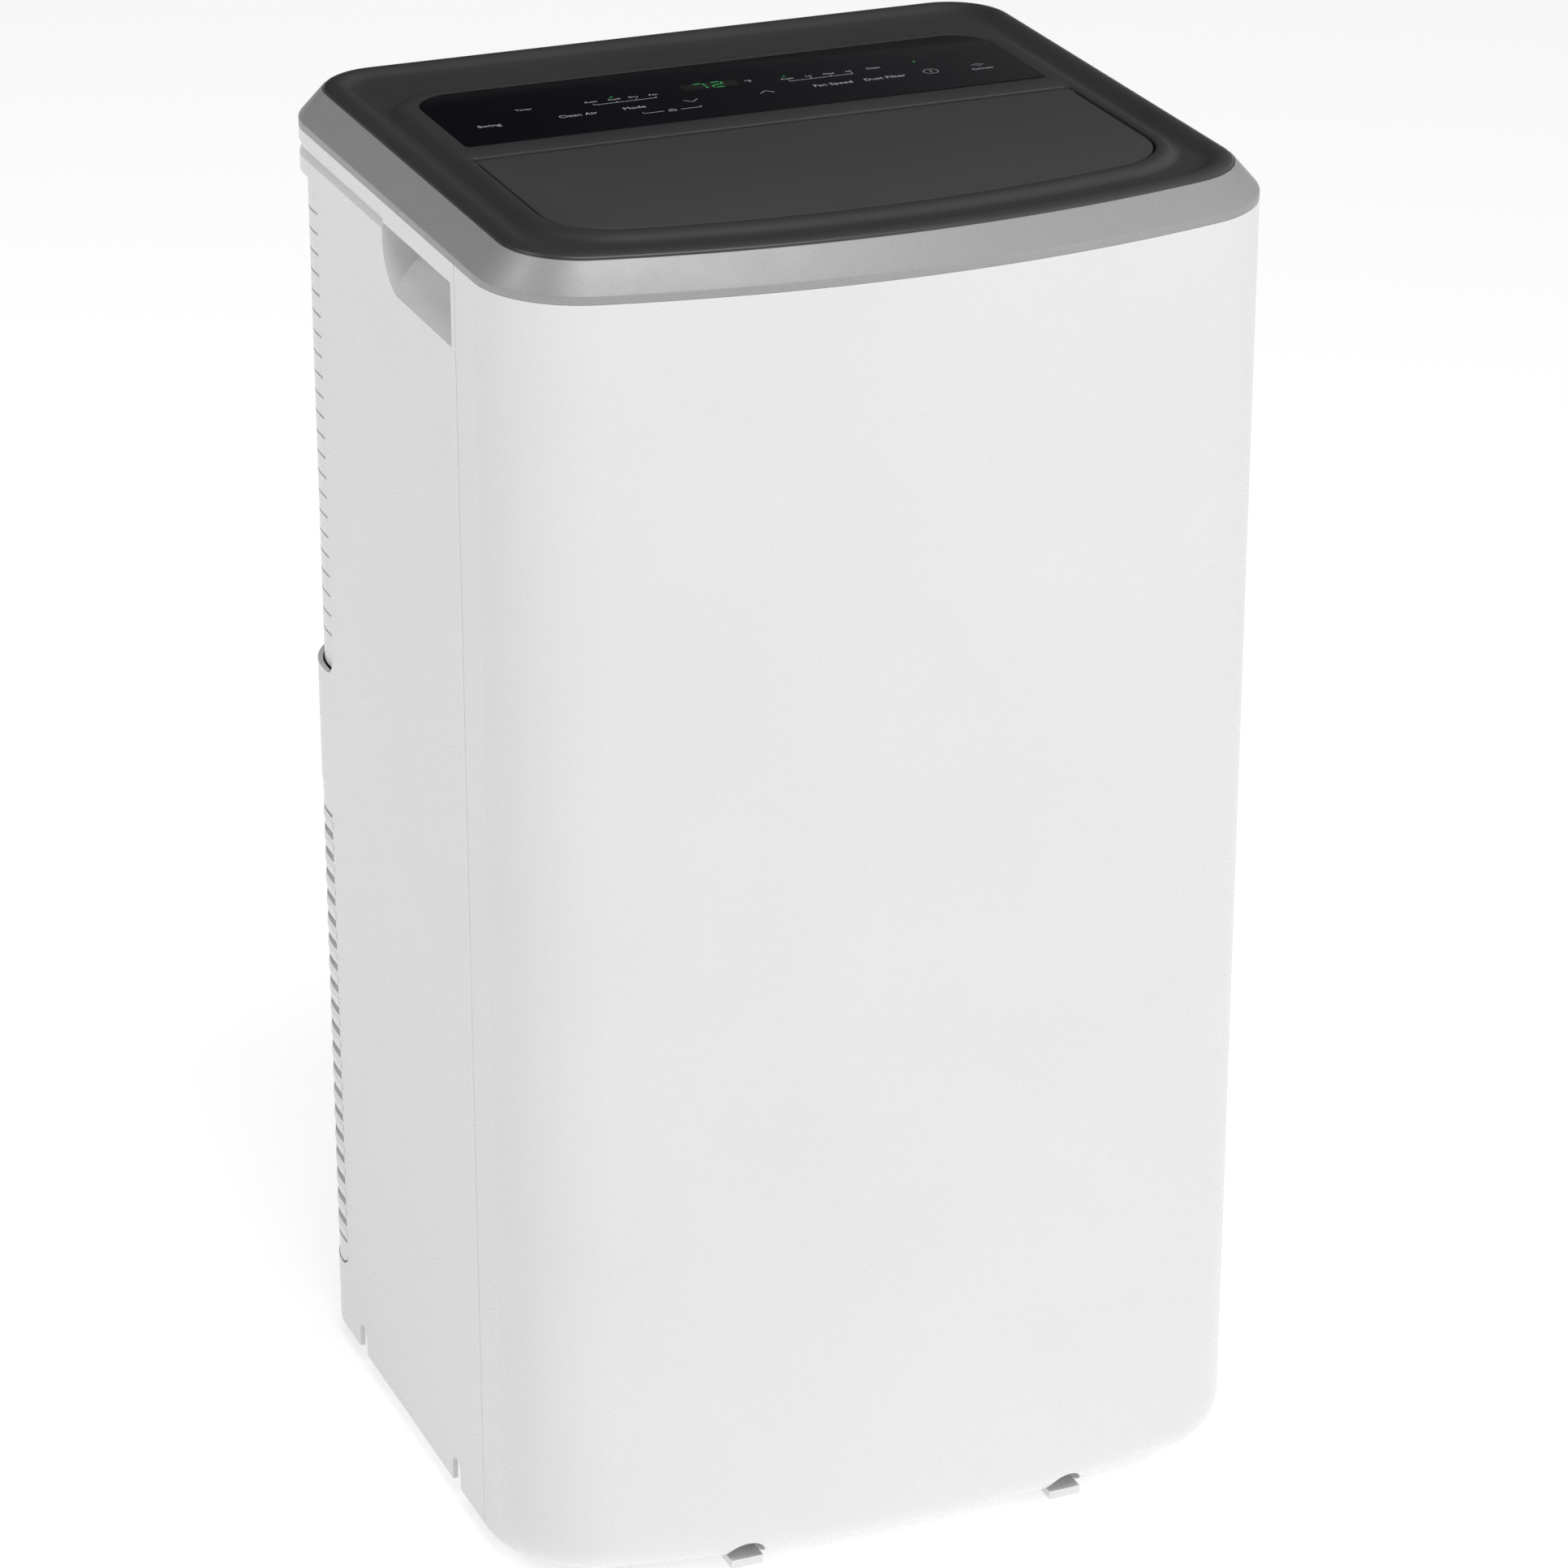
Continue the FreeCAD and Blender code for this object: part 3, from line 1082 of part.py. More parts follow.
def pipe(points, radius):
    """Tube of straight runs joined by tangent arcs."""
    vectors = [Vec(*p) for p in points]
    edges = []
    start = vectors[0]
    for before, corner, after in zip(vectors, vectors[1:], vectors[2:]):
        toward = (before - corner).normalize()
        away = (after - corner).normalize()
        turn = math.pi - toward.getAngle(away)
        cut = radius * math.tan(turn / 2)
        arc_in = corner + toward * cut
        arc_out = corner + away * cut
        bisector = (toward + away).normalize()
        centre = corner + bisector * (radius / math.cos(turn / 2))
        middle = centre - bisector * radius
        edges.append(Part.makeLine(start, arc_in))
        edges.append(Part.Arc(arc_in, middle, arc_out).toShape())
        start = arc_out
    edges.append(Part.makeLine(start, vectors[-1]))
    path = Part.Wire(edges)
    first = (vectors[1] - vectors[0]).normalize()
    section = Part.Wire(Part.makeCircle(PIPE_R, vectors[0], first))
    return path.makePipeShell([section], True, False)


def make_discharge_pipe():
    x = COMPRESSOR_X - 25
    top = TRAY_TOP_Z + GROMMET_H + FOOT_T + COMPRESSOR_H
    y = CONDENSER_Y
    end = TRAY_TOP_Z + 4 + CONDENSER_H
    return pipe([(x, COMPRESSOR_Y, top), (x, COMPRESSOR_Y, top + 40), (x, y, top + 40), (x, y, end)],
                DISCHARGE_BEND_R)


def make_suction_pipe():
    x = accumulator_x()
    z0 = ACCUMULATOR_Z + ACCUMULATOR_H
    coil_z = EVAPORATOR_Z + EVAPORATOR_H / COIL_ROWS
    return pipe([(x, COMPRESSOR_Y, z0), (x, COMPRESSOR_Y, z0 + 78), (x, RUN_Y, z0 + 78),
                 (-RISER_X, RUN_Y, z0 + 78), (-RISER_X, RUN_Y, coil_z), (-RISER_X, EVAPORATOR_Y - 9, coil_z),
                 (-EVAPORATOR_W / 2 - 1, EVAPORATOR_Y - 9, coil_z)], RISER_BEND_R)


def make_liquid_pipe():
    x0 = CONDENSER_X + CONDENSER_W / 2 - 20
    z0 = TRAY_TOP_Z + 4 + CONDENSER_H
    coil_z = EVAPORATOR_Z + EVAPORATOR_H / COIL_ROWS
    return pipe([(x0, CONDENSER_Y, z0), (x0, CONDENSER_Y, z0 + 34), (x0, RUN_Y, z0 + 34),
                 (RISER_X, RUN_Y, z0 + 34), (RISER_X, RUN_Y, coil_z), (RISER_X, EVAPORATOR_Y - 9, coil_z),
                 (EVAPORATOR_W / 2 + 1, EVAPORATOR_Y - 9, coil_z)], RISER_BEND_R)


def make_float_switch():
    stem = upright(FLOAT_X, FLOAT_Y, TRAY_TOP_Z, TRAY_TOP_Z + FLOAT_STEM_H, FLOAT_STEM_R)
    ball = upright(FLOAT_X, FLOAT_Y, TRAY_TOP_Z + 8, TRAY_TOP_Z + 22, FLOAT_R)
    return stem.fuse(ball)


def build():
    nodes = {
        "front_cover": make_front_cover(),
        "rear_panel": make_rear_panel(),
        "rear_screws": make_rear_screws(),
        "bezel_ring": make_bezel_ring(),
        "top_deck": make_top_deck(),
        "outlet_flap": make_outlet_flap(),
        "control_glass": make_control_glass(),
        "control_board": make_control_board(),
        "display_module": make_display_module(),
        "outlet_frame": make_outlet_frame(),
        "link_bar": make_link_bar(),
        "swing_motor": make_swing_motor(),
        "filter_panel": make_filter_panel(),
        "dust_filter": make_dust_filter(),
        "intake_frame": make_intake_frame(),
        "lower_grille": make_lower_grille(),
        "exhaust_collar": make_exhaust_collar(),
        "drain_spouts": Part.makeCompound([make_drain_spout(z) for z in (LOWER_DRAIN_Z, UPPER_DRAIN_Z)]),
        "lower_drain_plug": make_drain_plug(LOWER_DRAIN_Z),
        "upper_drain_plug": make_drain_plug(UPPER_DRAIN_Z),
        "cord_gland": make_cord_gland(),
        "base_tray": make_base_tray(),
        "compressor": make_compressor(),
        "compressor_grommets": make_compressor_grommets(),
        "accumulator": make_accumulator(),
        "condenser_coil": make_condenser_coil(),
        "fan_case": make_fan_case(),
        "condenser_wheel": make_condenser_wheel(),
        "condenser_motor": make_condenser_motor(),
        "splash_motor": make_splash_motor(),
        "splash_wheel": make_splash_wheel(),
        "drip_pan": make_drip_pan(),
        "evaporator_coil": make_evaporator_coil(),
        "coil_stand": make_coil_stand(),
        "blower_housing": make_blower_housing(),
        "blower_stand": make_blower_stand(),
        "evaporator_wheel": make_evaporator_wheel(),
        "evaporator_motor": make_evaporator_motor(),
        "control_box": make_control_box(),
        "capacitor": make_capacitor(),
        "discharge_pipe": make_discharge_pipe(),
        "suction_pipe": make_suction_pipe(),
        "liquid_pipe": make_liquid_pipe(),
        "float_switch": make_float_switch(),
    }
    left = make_side_panel()
    nodes["right_side_panel"] = mirrored(left)
    nodes["left_side_panel"] = left.cut(lower_window(0))
    for k, x in enumerate(vane_xs(), 1):
        nodes["vane_%d" % k] = make_vane(x)
    for side, x in (("left", -CASTER_X), ("right", CASTER_X)):
        for end, y in zip(("front", "rear"), CASTER_YS):
            nodes["caster_fork_%s_%s" % (end, side)] = make_caster_fork(x, y)
            nodes["caster_wheel_%s_%s" % (end, side)] = make_caster_wheel(x, y)
    return nodes


def main():
    os.makedirs("parts", exist_ok=True)
    for name, shape in build().items():
        shape.exportStep(os.path.join("parts", name + ".step"))


main()
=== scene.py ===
"""Looks of the portable air conditioner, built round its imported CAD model.

Sizes are in millimetres and become metres as each mesh is made. X runs left to right, -Y is the
front and Z = 0 is the floor.
"""

import json
import logging
import math
from dataclasses import dataclass, replace
from enum import Enum

import bmesh
import bpy
from mathutils import Matrix, Vector


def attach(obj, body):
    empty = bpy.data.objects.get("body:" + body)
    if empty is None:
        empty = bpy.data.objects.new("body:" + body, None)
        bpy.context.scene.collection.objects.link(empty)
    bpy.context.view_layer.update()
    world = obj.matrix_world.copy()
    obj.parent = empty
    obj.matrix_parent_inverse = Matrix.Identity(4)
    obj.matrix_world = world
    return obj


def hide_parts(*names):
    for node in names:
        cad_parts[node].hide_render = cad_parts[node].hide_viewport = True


log = logging.getLogger("air_conditioner")

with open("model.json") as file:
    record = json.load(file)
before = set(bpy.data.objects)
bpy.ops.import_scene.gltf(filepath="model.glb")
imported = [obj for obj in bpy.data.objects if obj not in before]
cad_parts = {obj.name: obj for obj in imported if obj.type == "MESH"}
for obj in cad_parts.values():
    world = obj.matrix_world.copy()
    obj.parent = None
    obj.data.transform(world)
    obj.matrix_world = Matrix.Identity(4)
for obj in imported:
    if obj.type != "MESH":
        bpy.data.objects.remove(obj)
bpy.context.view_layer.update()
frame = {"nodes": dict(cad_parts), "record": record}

MM = 0.001
# A wave texture of this scale repeats once a metre.
WAVE_UNIT = 0.314
Point = tuple[float, float, float]
PlanPoint = tuple[float, float]
Profile = tuple[tuple[float, float], ...]
Loop = list[bmesh.types.BMVert]


# Materials


def linear(code: str) -> tuple[float, float, float, float]:
    """Turn an sRGB hex code into linear colour.

    Args:
        code: six hex digits with a leading #.

    Returns:
        Red, green, blue and an alpha of one.
    """
    parts = [int(code[i:i + 2], 16) / 255 for i in (1, 3, 5)]
    red, green, blue = [c / 12.92 if c <= 0.04045 else ((c + 0.055) / 1.055) ** 2.4 for c in parts]
    return red, green, blue, 1.0


def add_node(tree: bpy.types.NodeTree, kind: str, inputs: dict | None = None,
             **settings: object) -> bpy.types.Node:
    """Add one shader node with its inputs filled.

    Args:
        tree: the material's or the world's node tree.
        kind: Blender's type name of the node.
        inputs: value or source socket for each named or numbered input.
        settings: properties of the node itself.

    Returns:
        The new node.
    """
    node = tree.nodes.new(kind)
    for key, value in settings.items():
        setattr(node, key, value)
    for key, value in (inputs or {}).items():
        if isinstance(value, bpy.types.NodeSocket):
            tree.links.new(value, node.inputs[key])
        else:
            node.inputs[key].default_value = value
    return node


def noise(tree: bpy.types.NodeTree, size_mm: float, detail: float = 2.0,
          stretch: Point = (1, 1, 1)) -> bpy.types.NodeSocket:
    """Lay a noise pattern on Object coordinates.

    Args:
        tree: the material's node tree.
        size_mm: size of one blotch.
        detail: how many finer layers it has.
        stretch: how much the pattern is squeezed along each axis.

    Returns:
        The noise's value socket, about 0.5 on average.
    """
    place = add_node(tree, "ShaderNodeTexCoord").outputs["Object"]
    turned = add_node(tree, "ShaderNodeMapping", {"Vector": place, "Scale": stretch}).outputs["Vector"]
    return add_node(tree, "ShaderNodeTexNoise",
                    {"Vector": turned, "Scale": 1 / (size_mm * MM), "Detail": detail}).outputs["Fac"]


def blend(tree: bpy.types.NodeTree, factor: bpy.types.NodeSocket, low: str, high: str,
          start: float = 0.3, end: float = 0.7) -> bpy.types.NodeSocket:
    """Blend two colours by a pattern.

    Args:
        tree: the material's node tree.
        factor: the pattern's socket.
        low: hex colour where the pattern is at or below start.
        high: hex colour where it is at or above end.
        start: lower end of the blend.
        end: upper end of the blend.

    Returns:
        The colour socket.
    """
    ramp = add_node(tree, "ShaderNodeValToRGB", {"Fac": factor})
    ramp.color_ramp.elements[0].position = start
    ramp.color_ramp.elements[1].position = end
    ramp.color_ramp.elements[0].color = linear(low)
    ramp.color_ramp.elements[1].color = linear(high)
    return ramp.outputs["Color"]


def spread(tree: bpy.types.NodeTree, factor: bpy.types.NodeSocket, low: float,
           high: float) -> bpy.types.NodeSocket:
    """Map a pattern's middle range to a number range and return the number's socket."""
    return add_node(tree, "ShaderNodeMapRange", {"Value": factor, "From Min": 0.3, "From Max": 0.7,
                                                 "To Min": low, "To Max": high}).outputs["Result"]


def relief(tree: bpy.types.NodeTree, height: bpy.types.NodeSocket, depth_mm: float,
           strength: float = 1.0) -> bpy.types.NodeSocket:
    """Turn a height pattern into a surface relief of a given depth and return the normal's socket."""
    return add_node(tree, "ShaderNodeBump", {"Height": height, "Distance": depth_mm * MM,
                                             "Strength": strength}).outputs["Normal"]


def shade_of(code: str, factor: float) -> str:
    """Return the hex colour with each channel scaled by a factor."""
    parts = [min(255, round(int(code[i:i + 2], 16) * factor)) for i in (1, 3, 5)]
    return "#" + "".join(f"{part:02x}" for part in parts)


@dataclass(frozen=True)
class Finish:
    """A named surface finish; each kind below says what it gives the eye."""

    name: str
    colour: str

    def dress(self, tree: bpy.types.NodeTree, shader: bpy.types.Node) -> None:
        """Wire the finish's patterns into its shader.

        Args:
            tree: the material's node tree.
            shader: its main shader node.
        """
        raise NotImplementedError

    def material(self) -> bpy.types.Material:
        """Make the finish's material at its first use.

        Returns:
            The material, the same one each time.
        """
        found = bpy.data.materials.get(self.name)
        if found:
            return found
        made = bpy.data.materials.new(self.name)
        made.use_nodes = True
        made.diffuse_color = linear(self.colour)
        self.dress(made.node_tree, made.node_tree.nodes["Principled BSDF"])
        return made

    def wire(self, tree: bpy.types.NodeTree, shader: bpy.types.Node, inputs: dict) -> None:
        """Set or link inputs of the shader.

        Args:
            tree: the material's node tree.
            shader: its main shader node.
            inputs: value or source socket for each named input.
        """
        for key, value in inputs.items():
            if isinstance(value, bpy.types.NodeSocket):
                tree.links.new(value, shader.inputs[key])
            else:
                shader.inputs[key].default_value = value


@dataclass(frozen=True)
class MouldedPlastic(Finish):
    """Moulded plastic: slow tone drift, an even satin sheen and a fine mould grain."""

    roughness: float = 0.35
    # A mould's own grain is about 0.1 mm; it is drawn coarser so that it shows.
    grain_mm: float = 0.7
    grain_depth: float = 0.012
    drift: float = 0.015
    specular: float = 0.5

    def dress(self, tree: bpy.types.NodeTree, shader: bpy.types.Node) -> None:
        """Wire tone drift, sheen and grain.

        Args:
            tree: the material's node tree.
            shader: its main shader node.
        """
        slow = noise(tree, 90.0, 3.0)
        grain = noise(tree, self.grain_mm, 3.0)
        self.wire(tree, shader, {
            "Base Color": blend(tree, slow, shade_of(self.colour, 1 - self.drift),
                                shade_of(self.colour, 1 + self.drift)),
            "Roughness": spread(tree, grain, self.roughness * 0.92, self.roughness * 1.08),
            "Specular IOR Level": self.specular,
            "Normal": relief(tree, grain, self.grain_depth),
        })


@dataclass(frozen=True)
class DippedPaint(MouldedPlastic):
    """Black paint on a steel shell: as glossy as smooth plastic, with a slow orange-peel ripple."""


@dataclass(frozen=True)
class SilverPaint(Finish):
    """Silver lacquer: fine metal flakes that lift the colour, under a satin top coat."""

    roughness: float = 0.42
    metallic: float = 0.2
    # Real flakes are under 0.05 mm; they are drawn coarser so that they show.
    flake_mm: float = 0.35

    def dress(self, tree: bpy.types.NodeTree, shader: bpy.types.Node) -> None:
        """Wire flakes into colour and relief.

        Args:
            tree: the material's node tree.
            shader: its main shader node.
        """
        place = add_node(tree, "ShaderNodeTexCoord").outputs["Object"]
        scale = 1 / (self.flake_mm * MM)
        flakes = add_node(tree, "ShaderNodeTexVoronoi", {"Vector": place, "Scale": scale})
        self.wire(tree, shader, {
            "Base Color": blend(tree, flakes.outputs["Distance"], shade_of(self.colour, 1.05),
                                shade_of(self.colour, 0.94), 0.2, 0.8),
            "Metallic": self.metallic,
            "Roughness": spread(tree, noise(tree, 14.0), self.roughness * 0.93, self.roughness * 1.07),
            "Normal": relief(tree, flakes.outputs["Distance"], 0.004),
        })


@dataclass(frozen=True)
class BrushedMetal(Finish):
    """Drawn or brushed metal: long faint scratches that stretch the highlights."""

    roughness: float = 0.32
    stretch: Point = (1, 1, 14)
    scratch_mm: float = 4.0

    def dress(self, tree: bpy.types.NodeTree, shader: bpy.types.Node) -> None:
        """Wire scratches into tone, roughness and relief.

        Args:
            tree: the material's node tree.
            shader: its main shader node.
        """
        scratch = noise(tree, self.scratch_mm, 4.0, tuple(14 / s for s in self.stretch))
        self.wire(tree, shader, {
            "Base Color": blend(tree, scratch, shade_of(self.colour, 0.9), self.colour),
            "Metallic": 1.0,
            "Roughness": spread(tree, scratch, self.roughness * 0.8, self.roughness * 1.25),
            "Normal": relief(tree, scratch, 0.006),
        })


@dataclass(frozen=True)
class CopperTube(Finish):
    """Refrigerant tube: warm copper with darker, rougher patches of oxide."""

    def dress(self, tree: bpy.types.NodeTree, shader: bpy.types.Node) -> None:
        """Wire oxide patches into colour and roughness.

        Args:
            tree: the material's node tree.
            shader: its main shader node.
        """
        patches = noise(tree, 16.0, 4.0)
        self.wire(tree, shader, {
            "Base Color": blend(tree, patches, shade_of(self.colour, 0.72), self.colour),
            "Metallic": 1.0,
            "Roughness": spread(tree, patches, 0.42, 0.24),
            "Normal": relief(tree, noise(tree, 2.5), 0.01),
        })


@dataclass(frozen=True)
class FinStock(Finish):
    """Coil block: thin aluminium fins side by side, with painted shade in the slits between them."""

    pitch_mm: float = 1.8

    def dress(self, tree: bpy.types.NodeTree, shader: bpy.types.Node) -> None:
        """Wire the fins into colour and relief.

        Args:
            tree: the material's node tree.
            shader: its main shader node.
        """
        place = add_node(tree, "ShaderNodeTexCoord").outputs["Object"]
        fins = add_node(tree, "ShaderNodeTexWave",
                        {"Vector": place, "Scale": WAVE_UNIT / (self.pitch_mm * MM),
                         "Distortion": 0.15, "Detail": 1.0},
                        wave_type="BANDS", bands_direction="X").outputs["Fac"]
        self.wire(tree, shader, {
            # The dark bands are painted shade in the slits between the fins.
            "Base Color": blend(tree, fins, shade_of(self.colour, 0.35), self.colour, 0.15, 0.6),
            "Metallic": 0.9,
            "Roughness": 0.38,
            "Normal": relief(tree, fins, 0.5),
        })


@dataclass(frozen=True)
class Rubber(Finish):
    """Rubber: dull, with a chalky bloom and a soft uneven skin."""

    def dress(self, tree: bpy.types.NodeTree, shader: bpy.types.Node) -> None:
        """Wire bloom and skin.

        Args:
            tree: the material's node tree.
            shader: its main shader node.
        """
        bloom = noise(tree, 9.0, 5.0)
        self.wire(tree, shader, {
            "Base Color": blend(tree, bloom, self.colour, shade_of(self.colour, 1.25)),
            "Roughness": spread(tree, bloom, 0.62, 0.8),
            "Specular IOR Level": 0.3,
            "Normal": relief(tree, noise(tree, 0.9), 0.03),
        })


@dataclass(frozen=True)
class BeadFoam(Finish):
    """Expanded foam: rounded white beads pressed together, matt all over, with painted shade in the
    seams between beads.
    """

    bead_mm: float = 3.2

    def dress(self, tree: bpy.types.NodeTree, shader: bpy.types.Node) -> None:
        """Wire the beads into colour and relief.

        Args:
            tree: the material's node tree.
            shader: its main shader node.
        """
        place = add_node(tree, "ShaderNodeTexCoord").outputs["Object"]
        beads = add_node(tree, "ShaderNodeTexVoronoi",
                         {"Vector": place, "Scale": 1 / (self.bead_mm * MM)},
                         feature="DISTANCE_TO_EDGE").outputs["Distance"]
        self.wire(tree, shader, {
            # The darker colour at the bead edges is painted shade in the seams between beads.
            "Base Color": blend(tree, beads, shade_of(self.colour, 0.86), self.colour, 0.0, 0.14),
            "Roughness": 0.85,
            "Specular IOR Level": 0.2,
            "Normal": relief(tree, beads, 0.6),
        })


@dataclass(frozen=True)
class CircuitBoard(Finish):
    """Circuit board: green mask over a maze of lighter copper tracks."""

    track_mm: float = 5.0

    def dress(self, tree: bpy.types.NodeTree, shader: bpy.types.Node) -> None:
        """Wire the tracks into colour and relief.

        Args:
            tree: the material's node tree.
            shader: its main shader node.
        """
        place = add_node(tree, "ShaderNodeTexCoord").outputs["Object"]
        maze = add_node(tree, "ShaderNodeTexVoronoi",
                        {"Vector": place, "Scale": 1 / (self.track_mm * MM), "Randomness": 0.55},
                        feature="F1", distance="MANHATTAN").outputs["Distance"]
        self.wire(tree, shader, {
            "Base Color": blend(tree, maze, shade_of(self.colour, 1.5), self.colour, 0.35, 0.42),
            "Roughness": 0.3,
            "Coat Weight": 0.4,
            "Normal": relief(tree, maze, 0.04),
        })


@dataclass(frozen=True)
class FilterMesh(Finish):
    """Filter cloth: a fine square weave of threads, with painted shade in the holes between them."""

    thread_mm: float = 1.1

    def dress(self, tree: bpy.types.NodeTree, shader: bpy.types.Node) -> None:
        """Wire the two thread directions into colour and relief.

        Args:
            tree: the material's node tree.
            shader: its main shader node.
        """
        place = add_node(tree, "ShaderNodeTexCoord").outputs["Object"]
        scale = WAVE_UNIT / (self.thread_mm * MM)
        waves = [add_node(tree, "ShaderNodeTexWave", {"Vector": place, "Scale": scale},
                          wave_type="BANDS", bands_direction=axis).outputs["Fac"]
                 for axis in ("X", "Z")]
        weave = add_node(tree, "ShaderNodeMath", {0: waves[0], 1: waves[1]},
                         operation="MAXIMUM").outputs[0]
        self.wire(tree, shader, {
            # The darker colour in the holes is painted shade.
            "Base Color": blend(tree, weave, shade_of(self.colour, 0.45), self.colour, 0.35, 0.7),
            "Roughness": 0.7,
            "Normal": relief(tree, weave, 0.25),
        })


@dataclass(frozen=True)
class DarkGlass(Finish):
    """Toughened glass with a dark printed back: deep blue-black under a hard clear gloss."""

    def dress(self, tree: bpy.types.NodeTree, shader: bpy.types.Node) -> None:
        """Wire the print's faint mottling and the gloss.

        Args:
            tree: the material's node tree.
            shader: its main shader node.
        """
        mottle = noise(tree, 35.0, 2.0)
        self.wire(tree, shader, {
            "Base Color": blend(tree, mottle, shade_of(self.colour, 0.9), self.colour),
            "Roughness": spread(tree, noise(tree, 22.0), 0.1, 0.14),
            "Specular IOR Level": 0.1,
            "Normal": relief(tree, noise(tree, 60.0), 0.004),
        })


@dataclass(frozen=True)
class PrintedInk(Finish):
    """Screen-printed ink: a flat pale grey that thins a little at its grain."""

    def dress(self, tree: bpy.types.NodeTree, shader: bpy.types.Node) -> None:
        """Wire the ink's grain.

        Args:
            tree: the material's node tree.
            shader: its main shader node.
        """
        grain = noise(tree, 0.4, 2.0)
        self.wire(tree, shader, {
            "Base Color": blend(tree, grain, shade_of(self.colour, 0.9), self.colour),
            "Roughness": 0.5,
        })


@dataclass(frozen=True)
class LitSegment(Finish):
    """Lamp window of the display: a green glow, brighter in patches."""

    glow: float = 0.8

    def dress(self, tree: bpy.types.NodeTree, shader: bpy.types.Node) -> None:
        """Wire the glow.

        Args:
            tree: the material's node tree.
            shader: its main shader node.
        """
        patches = noise(tree, 1.5, 1.0)
        self.wire(tree, shader, {
            "Base Color": blend(tree, patches, shade_of(self.colour, 0.8), self.colour),
            "Emission Color": linear(self.colour),
            "Emission Strength": self.glow,
            "Roughness": 0.4,
        })


@dataclass(frozen=True)
class StudioFloor(Finish):
    """Seamless paper: near white and matt, lit evenly enough to swallow shadows."""

    glow: float = 0.5

    def dress(self, tree: bpy.types.NodeTree, shader: bpy.types.Node) -> None:
        """Wire the paper's faint fibre and its even light.

        Args:
            tree: the material's node tree.
            shader: its main shader node.
        """
        fibre = noise(tree, 3.0, 3.0)
        self.wire(tree, shader, {
            "Base Color": blend(tree, fibre, shade_of(self.colour, 0.995), self.colour),
            "Emission Color": (1, 1, 1, 1),
            "Emission Strength": self.glow,
            "Roughness": 0.9,
            "Specular IOR Level": 0.1,
        })


class Slot(Enum):
    """The record's material slots, each with the finish that dresses it."""

    shell_white = MouldedPlastic("white_shell_plastic", "#d9d9da", 0.28, 0.8, 0.003, 0.004)
    screw_steel = BrushedMetal("screw_steel", "#a9abae", 0.35)
    bezel_silver = SilverPaint("bezel_silver_paint", "#999899")
    deck_charcoal = MouldedPlastic("charcoal_deck_plastic", "#333333", 0.34, 0.6, 0.005, 0.03, 0.5)
    flap_grey = MouldedPlastic("charcoal_flap_plastic", "#3b3b3a", 0.6, 0.5, 0.015, 0.02, 0.3)
    panel_glass = DarkGlass("dark_control_glass", "#0a0b11")
    circuit_green = CircuitBoard("circuit_board", "#1b5a34")
    display_dark = MouldedPlastic("smoked_display_plastic", "#16130f", 0.2, 0.6, 0.004, 0.05)
    inner_black = MouldedPlastic("black_inner_plastic", "#1d1d1e", 0.5, 0.7, 0.02, 0.05)
    motor_steel = BrushedMetal("motor_can_steel", "#9fa1a5", 0.34, (1, 14, 1))
    filter_grey = FilterMesh("filter_weave", "#7b7f86")
    inner_grey = MouldedPlastic("grey_inner_plastic", "#bdbebd", 0.48, 0.8, 0.02, 0.03)
    rubber_grey = Rubber("grey_plug_rubber", "#b4b4b2")
    rubber_black = Rubber("black_rubber", "#1e1e1f")
    compressor_black = DippedPaint("compressor_black_paint", "#17181a", 0.28, 2.4, 0.05, 0.08)
    copper_pipe = CopperTube("copper_tube", "#c07a50")
    coil_aluminium = FinStock("coil_fins", "#c9cbce")
    wheel_black = MouldedPlastic("fan_wheel_plastic", "#232325", 0.45, 0.6, 0.02, 0.06)
    foam_white = BeadFoam("white_bead_foam", "#e4e4df")
    box_steel = BrushedMetal("zinc_coated_steel", "#b2b5b8", 0.4, (1, 1, 6))
    caster_fork = MouldedPlastic("caster_fork_plastic", "#2a2a2b", 0.35, 0.7, 0.02, 0.05)
    caster_tyre = Rubber("caster_tyre_rubber", "#3a3a3b")


PRINT_INK = PrintedInk("pale_print_ink", "#b4b6ba")
GREEN_GLOW = LitSegment("green_lamp", "#2f9a52", 0.35)
STUDIO_PAPER = StudioFloor("studio_paper", "#efefef")


# Outlines and skins


